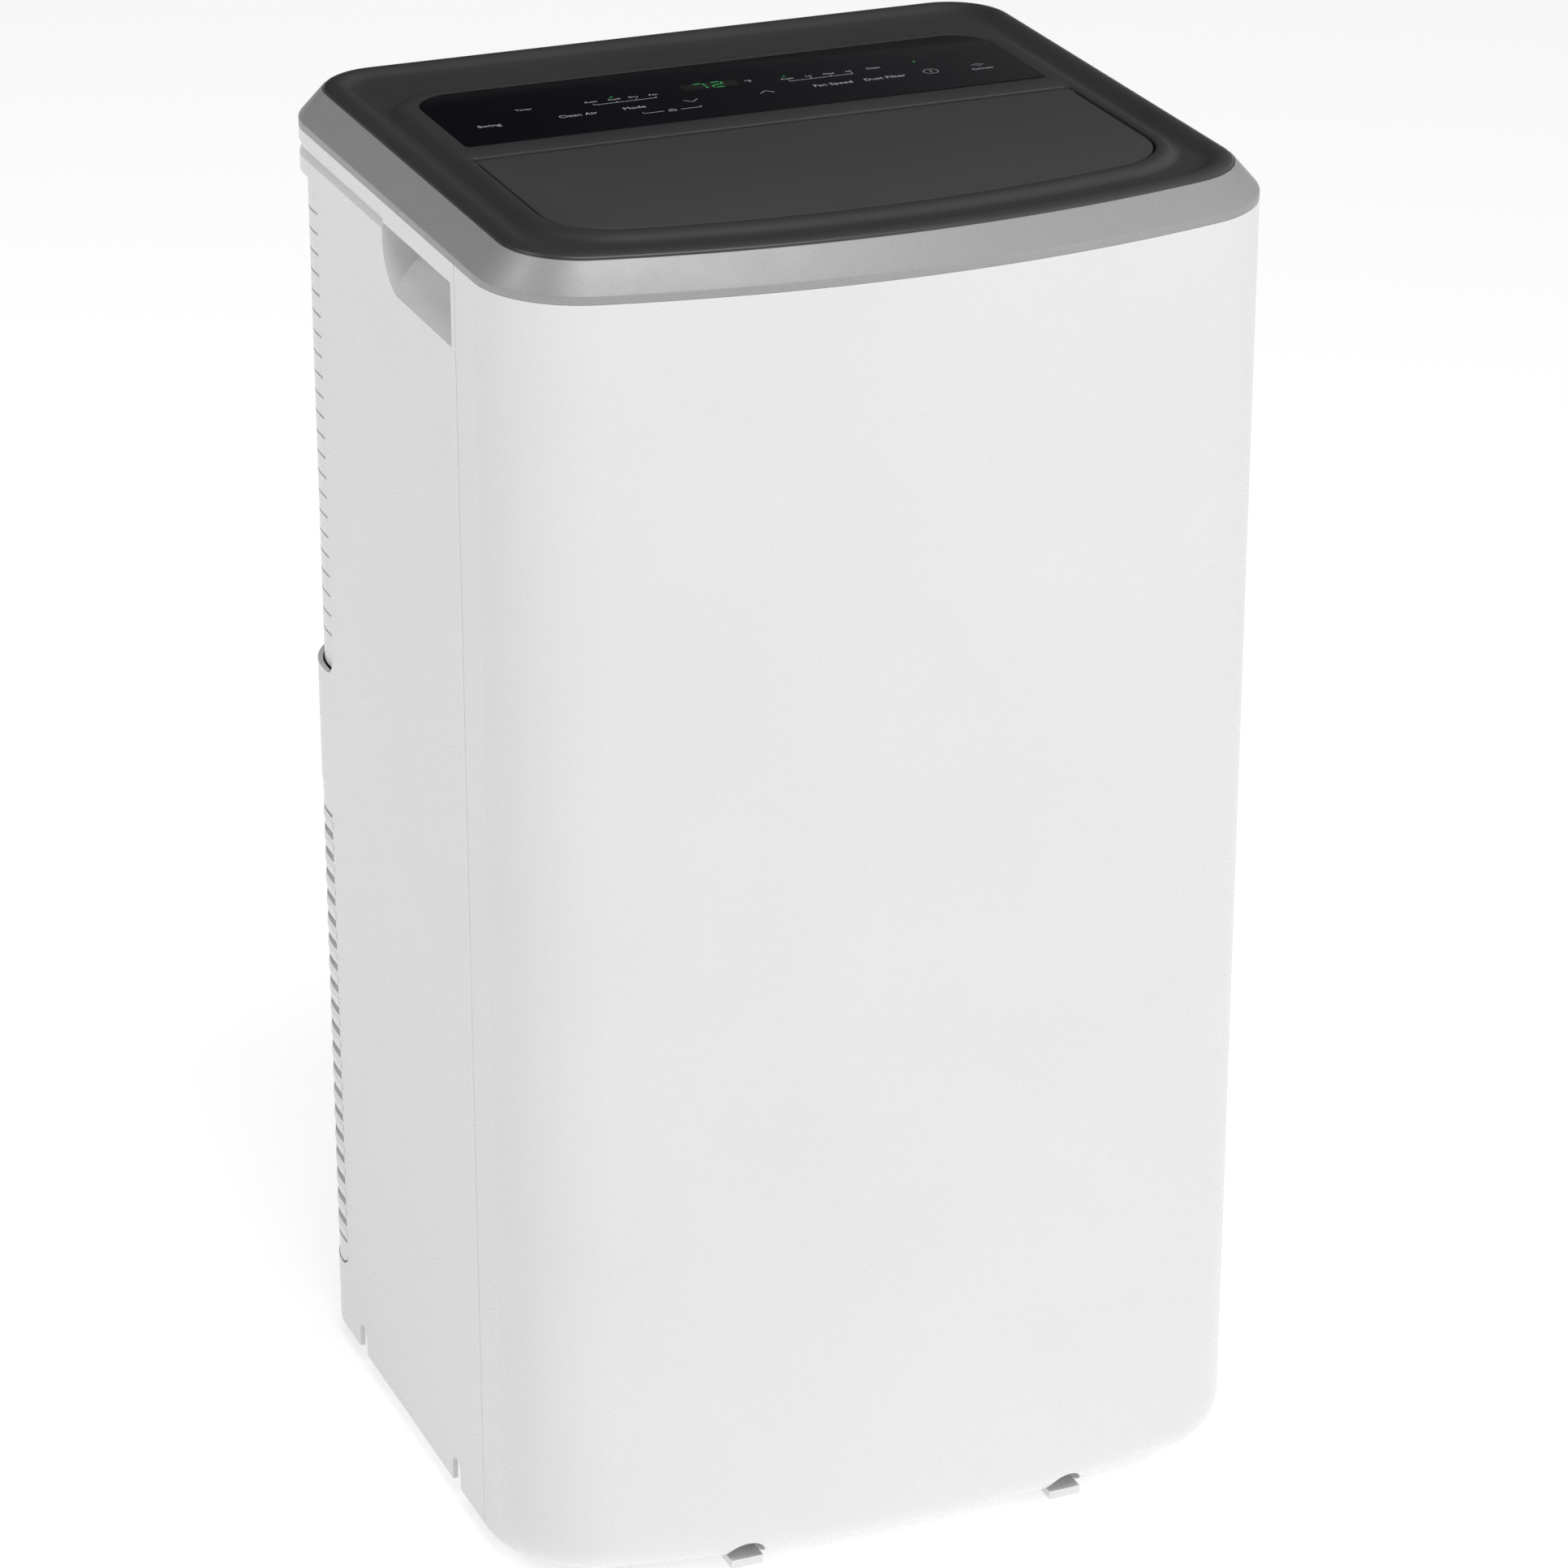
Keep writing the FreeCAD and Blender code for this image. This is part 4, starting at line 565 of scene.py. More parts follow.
@dataclass(frozen=True)
class PlanOutline:
    """A plan shape with round corners and a front edge bowed to a large radius."""

    half_w: float
    front_y: float
    rear_y: float
    front_r: float
    rear_r: float
    bow_r: float

    def moved_in(self, by: float) -> "PlanOutline":
        """Return the outline moved inwards by a distance, or outwards where it is negative."""
        return PlanOutline(self.half_w - by, self.front_y + by, self.rear_y - by,
                           self.front_r - by, self.rear_r - by, self.bow_r - by)

    def half(self, steps: int = 14) -> list[PlanPoint]:
        """Points from the front centre round the right side to the rear centre.

        Args:
            steps: how many points each arc and each straight gets.

        Returns:
            Plan points in millimetres.
        """
        bow_y = self.front_y + self.bow_r
        corner_x = self.half_w - self.front_r
        reach = self.bow_r - self.front_r
        corner_y = bow_y - math.sqrt(reach ** 2 - corner_x ** 2)
        meet = math.atan2((corner_y - bow_y) / reach, corner_x / reach)
        front = -math.pi / 2
        side_end = self.rear_y - self.rear_r
        points = []
        for i in range(steps + 1):
            angle = front + (meet - front) * i / steps
            points.append((self.bow_r * math.cos(angle), bow_y + self.bow_r * math.sin(angle)))
        for i in range(1, steps + 1):
            angle = meet * (1 - i / steps)
            points.append((corner_x + self.front_r * math.cos(angle),
                           corner_y + self.front_r * math.sin(angle)))
        for i in range(1, steps + 1):
            points.append((self.half_w, corner_y + (side_end - corner_y) * i / steps))
        for i in range(1, steps + 1):
            angle = math.pi / 2 * i / steps
            points.append((self.half_w - self.rear_r + self.rear_r * math.cos(angle),
                           side_end + self.rear_r * math.sin(angle)))
        for i in range(1, steps + 1):
            points.append(((self.half_w - self.rear_r) * (1 - i / steps), self.rear_y))
        return points

    def at(self, z: float) -> list[Point]:
        """Close the outline at a height, from the front centre round by the right.

        Args:
            z: height in millimetres.

        Returns:
            The points in order.
        """
        right = self.half()
        left = [(-x, y) for x, y in right[-2:0:-1]]
        return [(x, y, z) for x, y in right + left]


def midway(first: list[Point], second: list[Point], share: float) -> list[Point]:
    """Return points part of the way from one loop to another with as many points."""
    return [tuple(a + (b - a) * share for a, b in zip(p, q)) for p, q in zip(first, second)]


def start_loop(mesh: bmesh.types.BMesh, points: list[Point]) -> Loop:
    """Start a skin with one closed loop.

    Args:
        mesh: the piece under construction.
        points: the loop's points in millimetres, in order.

    Returns:
        The loop's vertices in the same order.
    """
    ring = bmesh.ops.create_circle(mesh, cap_ends=False, segments=len(points), radius=1.0)["verts"]
    for vert, point in zip(ring, points):
        vert.co = Vector(point) * MM
    return list(ring)


def grow_loop(mesh: bmesh.types.BMesh, loop: Loop, points: list[Point]) -> Loop:
    """Extrude a loop's edges and put the new loop on its points.

    Args:
        mesh: the piece under construction.
        loop: the vertices of the last loop, in order.
        points: where the new loop's vertices go, in millimetres.

    Returns:
        The new loop's vertices in the same order.
    """
    made = bmesh.ops.extrude_edge_only(mesh, edges=loop_edges(mesh, loop))["geom"]
    fresh = {part for part in made if isinstance(part, bmesh.types.BMVert)}
    grown = []
    for vert, point in zip(loop, points):
        twin = next(e.other_vert(vert) for e in vert.link_edges if e.other_vert(vert) in fresh)
        twin.co = Vector(point) * MM
        grown.append(twin)
    return grown


def loop_edges(mesh: bmesh.types.BMesh, loop: Loop) -> list[bmesh.types.BMEdge]:
    """Return the edges that close a loop of vertices."""
    return [mesh.edges.get(pair) for pair in zip(loop, loop[1:] + loop[:1])]


def grow_skin(mesh: bmesh.types.BMesh, loops: list[list[Point]]) -> tuple[Loop, Loop]:
    """Grow a skin through loops with as many points each.

    Args:
        mesh: the piece under construction.
        loops: the points of each loop, in millimetres.

    Returns:
        The first and the last loop of vertices.
    """
    first = start_loop(mesh, loops[0])
    last = first
    for points in loops[1:]:
        last = grow_loop(mesh, last, points)
    return first, last


def close_loop(mesh: bmesh.types.BMesh, loop: Loop) -> None:
    """Close a loop with one face."""
    bmesh.ops.contextual_create(mesh, geom=loop)


def add_solid(mesh: bmesh.types.BMesh, loops: list[list[Point]]) -> None:
    """Grow a skin through matching loops and close both ends.

    Args:
        mesh: the piece under construction.
        loops: the points of each loop, in millimetres.
    """
    first, last = grow_skin(mesh, loops)
    close_loop(mesh, first)
    close_loop(mesh, last)


def add_pin(mesh: bmesh.types.BMesh, start: Point, end: Point, radius: float) -> None:
    """Add a round pin between two points.

    Args:
        mesh: the piece under construction.
        start: the centre of one end, in millimetres.
        end: the centre of the other end.
        radius: the pin's radius in millimetres.
    """
    axis = Vector(end) - Vector(start)
    middle = (Vector(start) + Vector(end)) * 0.5 * MM
    turn = Matrix.Translation(middle) @ axis.to_track_quat("Z", "Y").to_matrix().to_4x4()
    bmesh.ops.create_cone(mesh, cap_ends=True, segments=20, radius1=radius * MM, radius2=radius * MM,
                          depth=axis.length * MM, matrix=turn)


@dataclass
class Piece:
    """A finished object with its place on the frame."""

    name: str
    body: str
    slot: Slot
    stands_for: tuple[str, ...] = ()
    crease_deg: float = 32.0

    def finish(self, mesh: bmesh.types.BMesh, finish: Finish | None = None) -> bpy.types.Object:
        """Turn a bmesh into the finished, dressed and mounted object.

        Args:
            mesh: the piece's faces, in metres in the frame.
            finish: a finish other than the slot's own.

        Returns:
            The object.
        """
        bmesh.ops.remove_doubles(mesh, verts=mesh.verts, dist=1e-7)
        bmesh.ops.recalc_face_normals(mesh, faces=mesh.faces)
        data = bpy.data.meshes.new(self.name)
        mesh.to_mesh(data)
        mesh.free()
        return self.mount(data, finish)

    def mount(self, data: bpy.types.Mesh, finish: Finish | None = None) -> bpy.types.Object:
        """Make an object of a mesh, dress it and put it on its body.

        Args:
            data: the finished mesh, in metres in the frame.
            finish: a finish other than the slot's own.

        Returns:
            The object.
        """
        data.shade_smooth()
        data.set_sharp_from_angle(angle=math.radians(self.crease_deg))
        data.materials.clear()
        data.materials.append((finish or self.slot.value).material())
        obj = bpy.data.objects.new(self.name, data)
        bpy.context.scene.collection.objects.link(obj)
        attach(obj, self.body)
        if self.stands_for:
            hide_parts(*self.stands_for)
        log.info("%s: %d faces on %s", self.name, len(data.polygons), self.body)
        return obj


# The cabinet's shared sizes


@dataclass(frozen=True)
class Cabinet:
    """Overall sizes of the cabinet that its sub-assemblies share."""

    outline: PlanOutline = PlanOutline(220.0, -204.5, 204.5, 60.0, 50.0, 730.0)
    top_z: float = 783.0
    crest_z: float = 786.0
    ring_bottom_z: float = 763.6
    deck_bottom_z: float = 777.0

    def plan(self, inset: float, z: float) -> list[Point]:
        """Return the cabinet's outline moved in, at a height."""
        return self.outline.moved_in(inset).at(z)


@dataclass(frozen=True)
class BezelRing:
    """Silver ring round the top: an upright facet, a sloped chamfer and a fine inner lip."""

    cabinet: Cabinet
    facet_h: float = 4.4
    chamfer_w: float = 13.1
    lip_w: float = 0.7
    edge_r: float = 0.5

    def build(self) -> None:
        """Grow the ring's closed section and mount it."""
        low = self.cabinet.ring_bottom_z
        top = self.cabinet.top_z
        slope = (top - low - self.facet_h) / self.chamfer_w
        edge = low + self.facet_h
        inner = self.chamfer_w + self.lip_w
        section = [
            (0.3, low), (0.0, low + 0.3), (0.0, edge - self.edge_r), (0.08, edge - 0.1),
            (0.35, edge + 0.35 * slope), (self.chamfer_w - 0.5, top - 0.5 * slope),
            (self.chamfer_w - 0.1, top - 0.12), (self.chamfer_w + 0.3, top),
            (inner - 0.1, top), (inner, top - 0.1), (inner, low),
        ]
        mesh = bmesh.new()
        loops = [self.cabinet.plan(inset, z) for inset, z in section]
        first, last = grow_skin(mesh, loops)
        bmesh.ops.bridge_loops(mesh, edges=loop_edges(mesh, first) + loop_edges(mesh, last))
        Piece("silver_bezel", "cabinet", Slot.bezel_silver, ("bezel_ring",), 24.0).finish(mesh)


@dataclass(frozen=True)
class TopDeck:
    """Charcoal top: a crest, a gutter, a rolled lip, the flap's mouth and the glass pocket."""

    cabinet: Cabinet
    inset: float = 14.1
    skirt_t: float = 3.0
    lip_margin: float = 4.0
    mouth: PlanOutline = PlanOutline(174.5, -151.5, 5.0, 42.0, 3.0, 700.0)
    glass: PlanOutline = PlanOutline(170.0, 24.0, 121.0, 3.0, 24.0, 100000.0)
    glass_t: float = 3.0
    glass_gap: float = 0.25
    glass_ledge: float = 12.0
    edge_r: float = 0.8
    # Distance in from the ring and drop below the top, over the crest and down into the gutter.
    crest: Profile = ((0.0, 2.9), (0.25, 2.2), (0.9, 1.5), (2.4, 0.8), (4.4, 0.25), (6.6, 0.0),
                      (8.8, 0.25), (10.8, 0.95), (12.6, 2.0), (14.4, 3.0), (16.4, 3.6))
    # Distance out from the level field and drop below it, up the rolled lip.
    roll: Profile = ((9.6, 3.85), (8.4, 3.75), (7.2, 3.3), (6.0, 2.5), (4.8, 1.6), (3.6, 0.85),
                     (2.4, 0.35), (1.2, 0.08), (0.0, 0.0))
    gutter_steps: tuple[float, float] = (0.35, 0.7)

    def lip(self, grow: float, z: float) -> list[Point]:
        """Return the outline of the level field that holds flap and glass, grown, at a height."""
        margin = self.lip_margin + grow
        return PlanOutline(self.mouth.half_w + margin, self.mouth.front_y - margin,
                           self.glass.rear_y + margin, self.mouth.front_r + margin,
                           self.glass.rear_r + margin, self.mouth.bow_r + margin).at(z)

    def crest_loops(self) -> list[list[Point]]:
        """Lay the loops over the crest, across the gutter and up the rolled lip.

        Returns:
            The loops' points, from the ring inwards.
        """
        top = self.cabinet.crest_z
        crest = [self.cabinet.plan(self.inset + away, top - drop) for away, drop in self.crest]
        rise = [self.lip(away, top - drop) for away, drop in self.roll]
        gutter = [midway(crest[-1], rise[0], share) for share in self.gutter_steps]
        return crest + gutter + rise

    def build(self) -> None:
        """Grow the closed shell with its openings and mount it."""
        mesh = bmesh.new()
        top = self.cabinet.crest_z
        low = self.cabinet.ring_bottom_z
        under = self.cabinet.deck_bottom_z
        inner = self.inset + self.skirt_t
        skirt = [self.cabinet.plan(inner, under), self.cabinet.plan(inner, low),
                 self.cabinet.plan(self.inset, low)]
        shell_under, field = grow_skin(mesh, skirt + self.crest_loops())
        r = self.edge_r
        mouth = [(-r, top), (-r * 0.3, top - r * 0.3), (0.0, top - r), (0.0, under)]
        mouth_top, mouth_under = grow_skin(mesh, [self.mouth.moved_in(i).at(z) for i, z in mouth])
        gap = -self.glass_gap
        shelf = top - self.glass_t
        pocket = [(gap - 0.5, top), (gap - 0.12, top - 0.12), (gap, top - 0.5), (gap, shelf),
                  (self.glass_ledge, shelf), (self.glass_ledge, under)]
        pocket_top, pocket_under = grow_skin(mesh, [self.glass.moved_in(i).at(z) for i, z in pocket])
        for rims in ((field, mouth_top, pocket_top), (shell_under, mouth_under, pocket_under)):
            edges = [edge for rim in rims for edge in loop_edges(mesh, rim)]
            bmesh.ops.triangle_fill(mesh, use_beauty=True, use_dissolve=False, edges=edges,
                                    normal=(0, 0, 1))
        Piece("charcoal_deck", "cabinet", Slot.deck_charcoal, ("top_deck",), 38.0).finish(mesh)


@dataclass(frozen=True)
class OutletFlap:
    """Charcoal flap over the air outlet, with softened edges and two hinge pins."""

    deck: TopDeck
    gap: float = 1.6
    rear_gap: float = 3.8
    sink: float = 0.5
    thickness: float = 5.0
    edge_r: float = 0.7
    setback: float = 6.0
    rear_r: float = 2.0
    pin_r: float = 2.0
    pin_reach: float = 4.5
    pin_l: float = 10.0

    def build(self) -> None:
        """Build the plate and its pins and mount them."""
        mesh = bmesh.new()
        mouth = self.deck.mouth
        plate = replace(mouth.moved_in(self.gap), rear_y=mouth.rear_y - self.rear_gap,
                        rear_r=self.rear_r)
        top = self.deck.cabinet.crest_z - self.sink
        low = top - self.thickness
        r = self.edge_r
        section = [(0.5, low), (0.0, low + 0.5), (0.0, top - r), (r * 0.12, top - r * 0.6),
                   (r * 0.45, top - r * 0.2), (r, top)]
        add_solid(mesh, [plate.moved_in(inset).at(z) for inset, z in section])
        y = mouth.rear_y - self.setback
        z = top - self.thickness / 2
        for side in (-1, 1):
            outer = side * (mouth.half_w + self.pin_reach)
            add_pin(mesh, (outer - side * self.pin_l, y, z), (outer, y, z), self.pin_r)
        Piece("air_outlet_flap", "flap", Slot.flap_grey, ("outlet_flap",)).finish(mesh)


class Mark(Enum):
    """What a print mark on the control glass says, with its place and letter height."""

    swing = ("Swing", -146.0, 55.6, 5.0)
    timer = ("Timer", -118.8, 76.4, 3.4)
    clean_air = ("Clean Air", -94.7, 56.2, 5.0)
    mode = ("Mode", -61.6, 57.2, 5.0)
    fan_speed = ("Fan Speed", 55.9, 57.2, 5.0)
    filter = ("Dust Filter", 87.0, 57.2, 5.0)
    mode_auto = ("Auto", -80.0, 76.0, 3.2)
    mode_cool = ("Cool", -66.3, 76.0, 3.2)
    mode_dry = ("Dry", -55.0, 76.0, 3.2)
    mode_fan = ("Fan", -43.5, 76.0, 3.2)
    fan_auto = ("Auto", 36.0, 76.0, 3.2)
    fan_low = ("Lo", 49.0, 76.0, 3.2)
    fan_med = ("Med", 61.0, 76.0, 3.2)
    fan_high = ("Hi", 73.0, 76.0, 3.2)
    filter_clean = ("Clean", 88.0, 76.5, 3.2)
    degrees = ("°F", 14.5, 79.5, 4.2)
    connect = ("Connect", 144.5, 53.0, 3.2)


@dataclass(frozen=True)
class ControlGlass:
    """Dark glass plate with printed words and icons, the lit digits and small lamps."""

    deck: TopDeck
    stroke: float = 0.45
    ink_t: float = 0.05
    type_scale: float = 1.15
    digit_w: float = 6.6
    digit_h: float = 9.6
    digit_y: float = 80.6
    bar_w: float = 0.62
    digits: tuple[tuple[str, float], ...] = (("7", -14.0), ("2", -3.5))
    window: PlanOutline = PlanOutline(16.4, -5.0, 5.0, 0.8, 0.8, 100000.0)
    window_place: PlanPoint = (-8.2, 80.7)
    lamp_r: float = 0.8
    lamps: Profile = ((-66.3, 80.5), (36.0, 80.5), (114.3, 79.7))
    # The stops along each scale, and the height on the glass of its base line.
    scales: tuple[tuple[tuple[float, ...], float], ...] = (((-80.0, -66.3, -55.0, -43.5), 70.0),
                                                           ((36.0, 49.0, 61.0, 73.6), 71.0))
    tick: float = 2.0
    power: PlanPoint = (115.5, 58.8)
    signal: PlanPoint = (144.5, 57.6)
    lock: PlanPoint = (-44.0, 46.2)

    @property
    def face_z(self) -> float:
        """Height of the glass's upper face."""
        return self.deck.cabinet.crest_z

    def build(self) -> None:
        """Build the plate, the print and the lamps."""
        top = self.face_z
        low = top - self.deck.glass_t
        section = [(0.0, low), (0.0, top - 0.4), (0.12, top - 0.12), (0.4, top)]
        mesh = bmesh.new()
        add_solid(mesh, [self.deck.glass.moved_in(inset).at(z) for inset, z in section])
        Piece("control_glass_plate", "cabinet", Slot.panel_glass, ("control_glass",)).finish(mesh)
        self.build_words()
        self.build_icons()
        self.build_window()
        self.build_lamps()

    def build_words(self) -> None:
        """Set each printed word as type, make it a mesh and mount it."""
        for mark in Mark:
            words, x, y, height = mark.value
            curve = bpy.data.curves.new("print_" + mark.name, "FONT")
            curve.body = words
            curve.size = height * self.type_scale * MM
            curve.align_x = "CENTER"
            curve.align_y = "CENTER"
            curve.extrude = self.ink_t / 2 * MM
            curve.resolution_u = 4
            type_obj = bpy.data.objects.new("type_" + mark.name, curve)
            bpy.context.scene.collection.objects.link(type_obj)
            bpy.context.view_layer.update()
            data = bpy.data.meshes.new_from_object(type_obj)
            bpy.data.objects.remove(type_obj)
            data.transform(Matrix.Translation(Vector((x, y, self.face_z + self.ink_t / 2)) * MM))
            data.name = "print_" + mark.name
            Piece("print_" + mark.name, "cabinet", Slot.panel_glass).mount(data, PRINT_INK)

    def line(self, mesh: bmesh.types.BMesh, points: list[PlanPoint], closed: bool = False) -> None:
        """Print a line of the stroke's width.

        Args:
            mesh: the piece under construction.
            points: the line's plan points in millimetres.
            closed: whether it returns to its first point.
        """
        height = self.face_z + self.ink_t / 2
        for (x0, y0), (x1, y1) in zip(points, points[1:] + points[:1] if closed else points[1:]):
            span = math.hypot(x1 - x0, y1 - y0) + self.stroke * 0.6
            turn = Matrix.Rotation(math.atan2(y1 - y0, x1 - x0), 4, "Z")
            place = Matrix.Translation(Vector(((x0 + x1) / 2, (y0 + y1) / 2, height)) * MM)
            size = Matrix.Diagonal((span * MM, self.stroke * MM, self.ink_t * MM, 1))
            bmesh.ops.create_cube(mesh, size=1.0, matrix=place @ turn @ size)

    def arc(self, centre: PlanPoint, radius: float, start: float, end: float,
            steps: int = 16) -> list[PlanPoint]:
        """Lay points along an arc.

        Args:
            centre: the arc's centre in millimetres.
            radius: its radius in millimetres.
            start: the angle of the first point, in degrees.
            end: the angle of the last point, in degrees.
            steps: how many chords it has.

        Returns:
            The arc's plan points.
        """
        angles = [math.radians(start + (end - start) * i / steps) for i in range(steps + 1)]
        return [(centre[0] + radius * math.cos(a), centre[1] + radius * math.sin(a)) for a in angles]

    def build_icons(self) -> None:
        """Draw the arrows, the power and signal marks, the scales, the lock and its bracket."""
        mesh = bmesh.new()
        # Down and up arrows.
        self.line(mesh, [(-32.0, 59.4), (-28.0, 55.4), (-24.0, 59.4)])
        self.line(mesh, [(12.0, 55.4), (16.0, 59.4), (20.0, 55.4)])
        # Power mark: a ring and an upright bar.
        x, y = self.power
        self.line(mesh, self.arc(self.power, 4.2, 0, 360, 28))
        self.line(mesh, [(x, y - 2.2), (x, y + 2.2)])
        # Signal mark: three arcs over a dot.
        for radius in (1.4, 3.0, 4.6):
            self.line(mesh, self.arc(self.signal, radius, 40, 140))
        self.line(mesh, self.arc(self.signal, 0.3, 0, 360, 6))
        for stops, base in self.scales:
            first, *between, last = stops
            rise = base + self.tick
            self.line(mesh, [(first, rise), (first, base), (last, base), (last, rise)])
            for x in between:
                self.line(mesh, [(x, base), (x, rise)])
        # Lock, with a bracket that leads from it to each arrow.
        x, y = self.lock
        self.line(mesh, [(-60.6, 47.0), (-60.6, 45.0), (-49.0, 45.0)])
        self.line(mesh, [(-39.0, 45.0), (-27.0, 45.0), (-27.0, 47.0)])
        body = [(x - 2.0, 43.6), (x + 2.0, 43.6), (x + 2.0, 46.0), (x - 2.0, 46.0)]
        self.line(mesh, body, closed=True)
        self.line(mesh, self.arc(self.lock, 1.2, 0, 180, 8))
        Piece("print_icons", "cabinet", Slot.panel_glass).finish(mesh, PRINT_INK)

    def segment(self, mesh: bmesh.types.BMesh, centre: PlanPoint, along: float,
                upright: bool) -> None:
        """Add one six-sided bar of a digit.

        Args:
            mesh: the piece under construction.
            centre: the bar's centre in millimetres.
            along: its length in millimetres.
            upright: whether it stands rather than lies.
        """
        place = Matrix.Translation(Vector((centre[0], centre[1], self.face_z + 0.045)) * MM)
        turn = Matrix.Rotation(math.pi / 2 if upright else 0.0, 4, "Z")
        size = Matrix.Diagonal((along / 2 * MM, self.bar_w * MM, 0.03 * MM, 1))
        bmesh.ops.create_cone(mesh, cap_ends=True, segments=6, radius1=1.0, radius2=1.0, depth=1.0,
                              matrix=place @ turn @ size)

    def build_window(self) -> None:
        """Lay the smoked window that frames the digits."""
        mesh = bmesh.new()
        right, rear = self.window_place
        section = [(0.0, 0.0), (0.0, 0.01), (0.1, 0.02)]
        rims = [self.window.moved_in(inset).at(self.face_z + rise) for inset, rise in section]
        loops = [[(x + right, y + rear, z) for x, y, z in rim] for rim in rims]
        add_solid(mesh, loops)
        Piece("display_window", "cabinet", Slot.display_dark).finish(mesh)

    def build_lamps(self) -> None:
        """Build the two lit digits and the small status lamps."""
        mesh = bmesh.new()
        half_w, half_h, low_h = self.digit_w / 2, self.digit_h / 2, self.digit_h / 4
        # Bars of each digit: top, upper right, then what it needs of middle, lower sides and foot.
        top = (0.0, half_h, False)
        upper_right = (half_w, low_h, True)
        bars = {"7": (top, upper_right, (half_w, -low_h, True)),
                "2": (top, upper_right, (0.0, 0.0, False), (-half_w, -low_h, True),
                      (0.0, -half_h, False))}
        for digit, x in self.digits:
            for right, up, upright in bars[digit]:
                length = (half_h if upright else self.digit_w) - 0.6
                self.segment(mesh, (x + right, self.digit_y + up), length, upright)
        for x, y in self.lamps:
            place = Matrix.Translation(Vector((x, y, self.face_z + 0.02)) * MM)
            bmesh.ops.create_cone(mesh, cap_ends=True, segments=14, radius1=self.lamp_r * MM,
                                  radius2=self.lamp_r * MM, depth=0.04 * MM, matrix=place)
        Piece("lit_digits", "cabinet", Slot.display_dark).finish(mesh, GREEN_GLOW)


@dataclass(frozen=True)
class LowerIntakeSlats:
    """Rounded slats of the lower intake that sweep round the rear left corner."""

    cabinet: Cabinet
    top_z: float = 354.0
    bottom_z: float = 72.0
    count: int = 20
    slat_h: float = 11.0
    front_inset: float = 0.1
    back_inset: float = 6.2
    side_y: float = 146.0
    end_x: float = -24.0
    # Under one the slat's front is fuller than an ellipse.
    fullness: float = 0.55
    corner_steps: int = 18
    rear_steps: int = 6
    arch_steps: int = 10

    def path(self, inset: float) -> list[PlanPoint]:
        """Follow the cabinet from its left side round the corner and along the rear.

        Args:
            inset: how far inside the cabinet's outline the path runs, in millimetres.

        Returns:
            The path's plan points.
        """
        shape = self.cabinet.outline.moved_in(inset)
        x = shape.rear_r - shape.half_w
        y = shape.rear_y - shape.rear_r
        points = [(-shape.half_w, self.side_y)]
        for i in range(self.corner_steps + 1):
            angle = math.pi - math.pi / 2 * i / self.corner_steps
            points.append((x + shape.rear_r * math.cos(angle), y + shape.rear_r * math.sin(angle)))
        for i in range(1, self.rear_steps + 1):
            points.append((x + (self.end_x - x) * i / self.rear_steps, shape.rear_y))
        return points

    def build(self) -> None:
        """Sweep every slat and mount them as one piece on the grille."""
        mesh = bmesh.new()
        pitch = (self.top_z - self.bottom_z) / self.count
        depth = self.back_inset - self.front_inset
        angles = [math.pi * (i / self.arch_steps - 0.5) for i in range(self.arch_steps + 1)]
        rises = [math.sin(angle) * self.slat_h / 2 for angle in angles]
        paths = [self.path(self.back_inset - depth * max(math.cos(angle), 0.0) ** self.fullness)
                 for angle in angles]
        for k in range(self.count):
            middle = self.bottom_z + pitch * (k + 0.5)
            sections = [[(x, y, middle + rise) for (x, y), rise in zip(stop, rises)]
                        for stop in zip(*paths)]
            add_solid(mesh, sections)
        Piece("lower_intake_slats", "lower_intake", Slot.shell_white).finish(mesh)


# Dressing, light and camera


def dress_cad_nodes() -> None:
    """Give every CAD node the finish of its slot."""
    for part in frame["record"]["subparts"]:
        node = frame["nodes"][part["node"]]
        node.data.materials.clear()
        node.data.materials.append(Slot[part["material_slot"]].value.material())


@dataclass(frozen=True)
class Softbox:
    """A large rectangular studio light."""

    name: str
    place: Point
    aim: Point
    size: PlanPoint
    watts: float

    def build(self) -> None:
        """Make the light and turn it towards its aim."""
        data = bpy.data.lights.new(self.name, "AREA")
        data.shape = "RECTANGLE"
        data.size, data.size_y = self.size
        data.energy = self.watts
        lamp = bpy.data.objects.new(self.name, data)
        lamp.location = self.place
        way = Vector(self.aim) - Vector(self.place)
        lamp.rotation_euler = way.to_track_quat("-Z", "Y").to_euler()
        bpy.context.scene.collection.objects.link(lamp)


# The overhead box lights the top, the others the front, the left side and the ring's left slope.
SOFTBOXES = (
    Softbox("overhead_box", (-0.3, -1.5, 3.3), (0.0, 0.0, 0.7), (2.0, 1.2), 40.0),
    Softbox("front_right_box", (2.2, -3.2, 1.6), (0.0, 0.0, 0.4), (1.8, 2.4), 14.0),
    Softbox("left_box", (-3.4, 0.1, 1.5), (0.0, 0.0, 0.4), (1.6, 2.4), 13.0),
    Softbox("left_top_box", (-2.3, 0.5, 2.7), (0.0, 0.0, 0.7), (0.9, 1.4), 14.0),
)


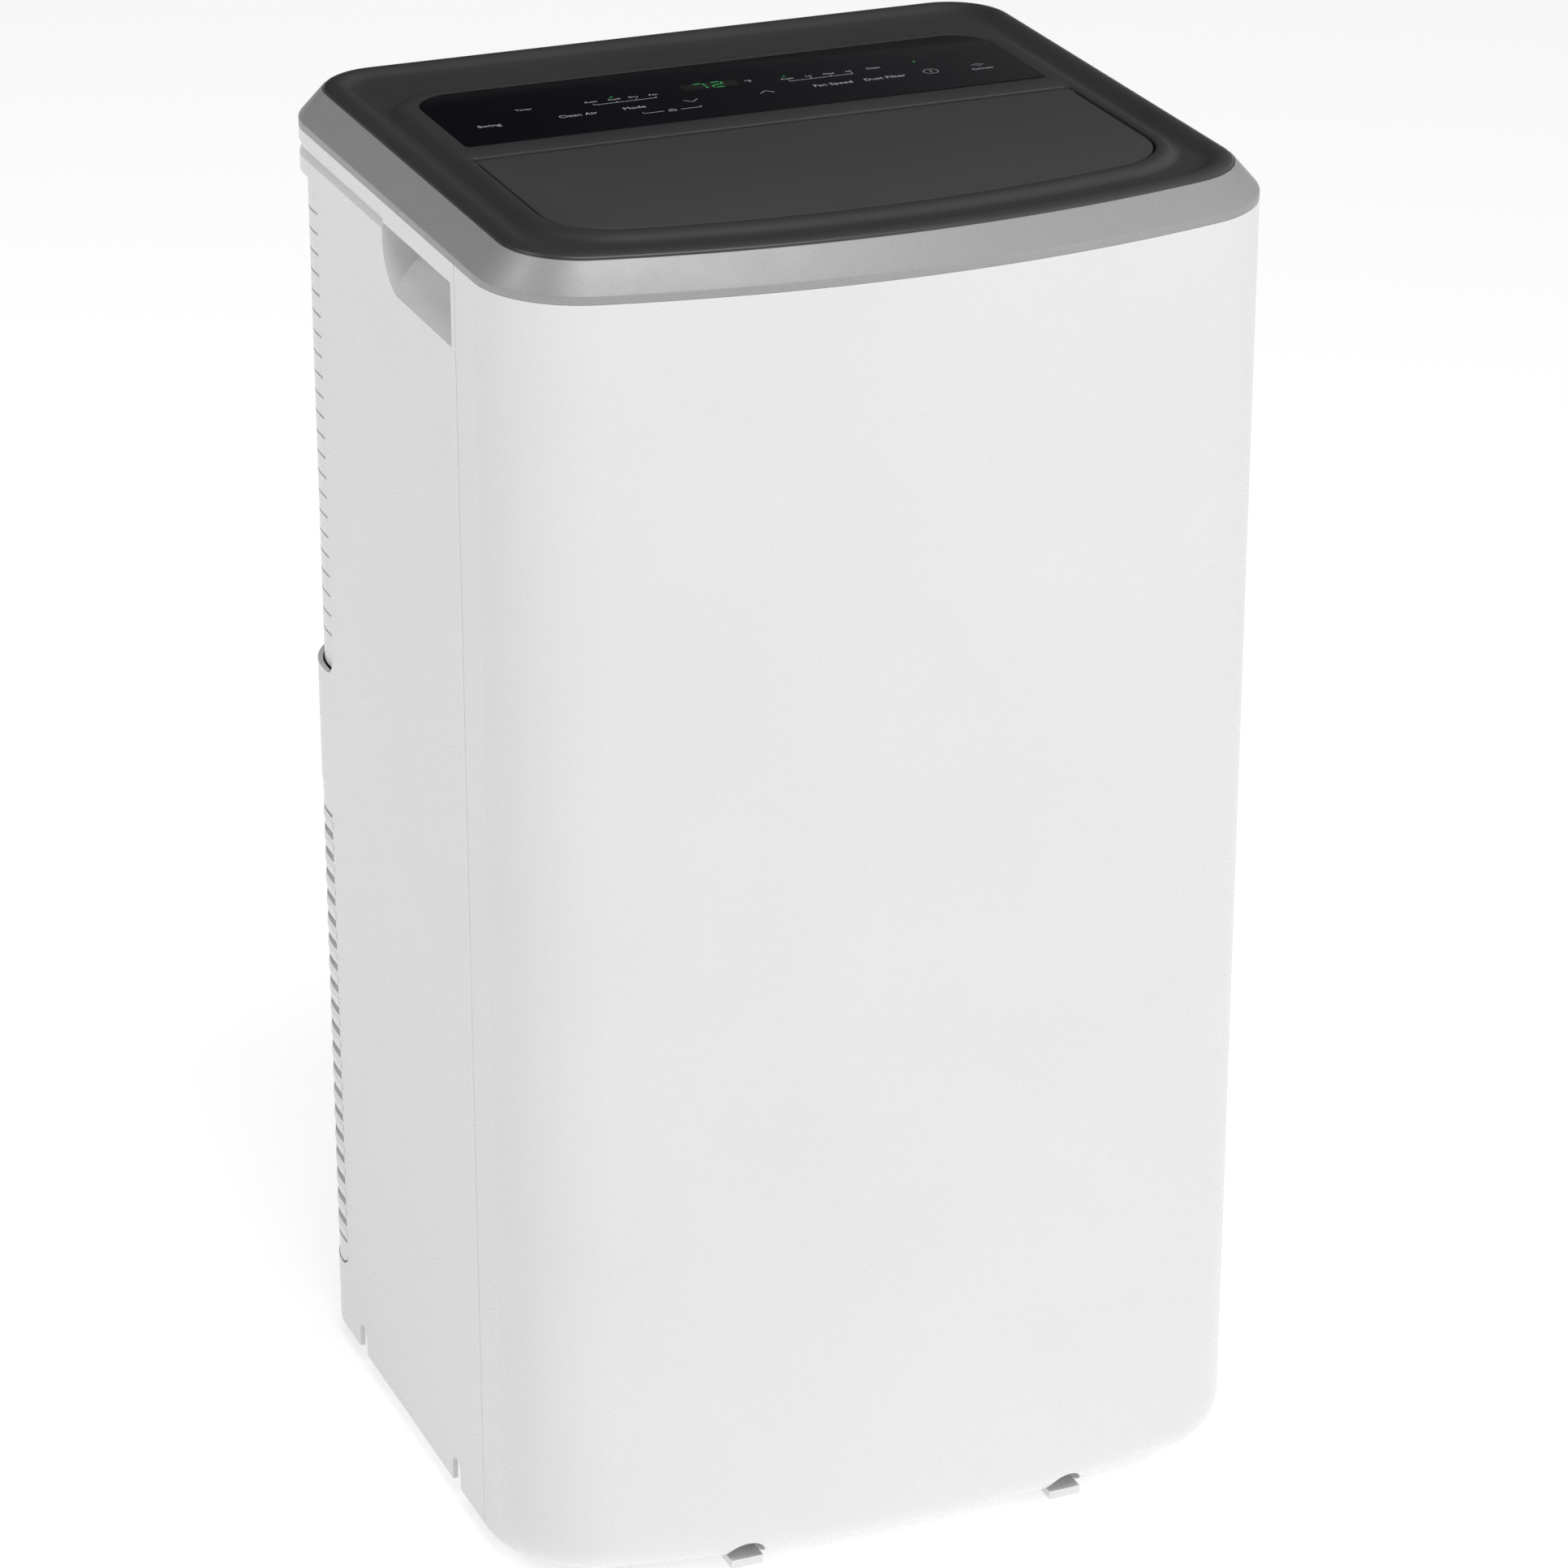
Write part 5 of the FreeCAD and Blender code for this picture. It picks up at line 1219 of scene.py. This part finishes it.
@dataclass(frozen=True)
class Studio:
    """Pale seamless floor, soft lights, a sky that dims towards the rear left, and the camera."""

    floor_half: float = 30.0
    bright_side: Point = (0.62, -0.78, 0.0)
    sky_bright: float = 0.85
    sky_dim: float = 0.03
    dim_from: float = -0.62
    bright_from: float = 0.8
    camera_place: Point = (-1.1110, -2.69356, 1.68243)
    camera_aim: Point = (0.00593, 0.0091, 0.39448)
    lens_mm: float = 128.82
    sensor_mm: float = 36.0
    shift: PlanPoint = (0.0008, -0.0028)
    far_m: float = 100.0

    def build_floor(self) -> None:
        """Lay the floor."""
        mesh = bmesh.new()
        bmesh.ops.create_grid(mesh, x_segments=4, y_segments=4, size=self.floor_half)
        data = bpy.data.meshes.new("studio_floor")
        mesh.to_mesh(data)
        mesh.free()
        data.materials.append(STUDIO_PAPER.material())
        floor = bpy.data.objects.new("studio_floor", data)
        bpy.context.scene.collection.objects.link(floor)

    def build_light(self) -> None:
        """Set the sky and hang the softboxes."""
        world = bpy.data.worlds.new("studio_sky")
        world.use_nodes = True
        tree = world.node_tree
        way = add_node(tree, "ShaderNodeTexCoord").outputs["Generated"]
        facing = add_node(tree, "ShaderNodeVectorMath", {0: way, 1: self.bright_side},
                          operation="DOT_PRODUCT").outputs["Value"]
        level = add_node(tree, "ShaderNodeMapRange",
                         {"Value": facing, "From Min": self.dim_from, "From Max": self.bright_from,
                          "To Min": self.sky_dim, "To Max": self.sky_bright},
                         interpolation_type="SMOOTHSTEP").outputs["Result"]
        seen = add_node(tree, "ShaderNodeLightPath").outputs["Is Camera Ray"]
        shown = add_node(tree, "ShaderNodeMix", {0: seen, 2: level, 3: 1.0},
                         data_type="FLOAT").outputs[0]
        tree.links.new(shown, tree.nodes["Background"].inputs["Strength"])
        tree.nodes["Background"].inputs["Color"].default_value = (1, 1, 1, 1)
        bpy.context.scene.world = world
        for box in SOFTBOXES:
            box.build()

    def build_camera(self) -> None:
        """Place the camera and make it the scene's own."""
        data = bpy.data.cameras.new("studio_camera")
        data.lens = self.lens_mm
        data.sensor_width = self.sensor_mm
        data.shift_x, data.shift_y = self.shift
        data.clip_end = self.far_m
        camera = bpy.data.objects.new("studio_camera", data)
        camera.location = self.camera_place
        aim = Vector(self.camera_aim) - Vector(self.camera_place)
        camera.rotation_euler = aim.to_track_quat("-Z", "Y").to_euler()
        bpy.context.scene.collection.objects.link(camera)
        bpy.context.scene.camera = camera

    def build(self) -> None:
        """Build the whole studio."""
        self.build_floor()
        self.build_light()
        self.build_camera()
        bpy.context.scene.view_settings.view_transform = "Standard"
        log.info("studio ready")


def main() -> None:
    """Dress the CAD nodes, build each sub-assembly and set up the studio."""
    logging.basicConfig(level=logging.INFO, format="%(name)s: %(message)s")
    dress_cad_nodes()
    cabinet = Cabinet()
    deck = TopDeck(cabinet)
    BezelRing(cabinet).build()
    deck.build()
    OutletFlap(deck).build()
    ControlGlass(deck).build()
    LowerIntakeSlats(cabinet).build()
    Studio().build()


if __name__ == "__main__":
    main()
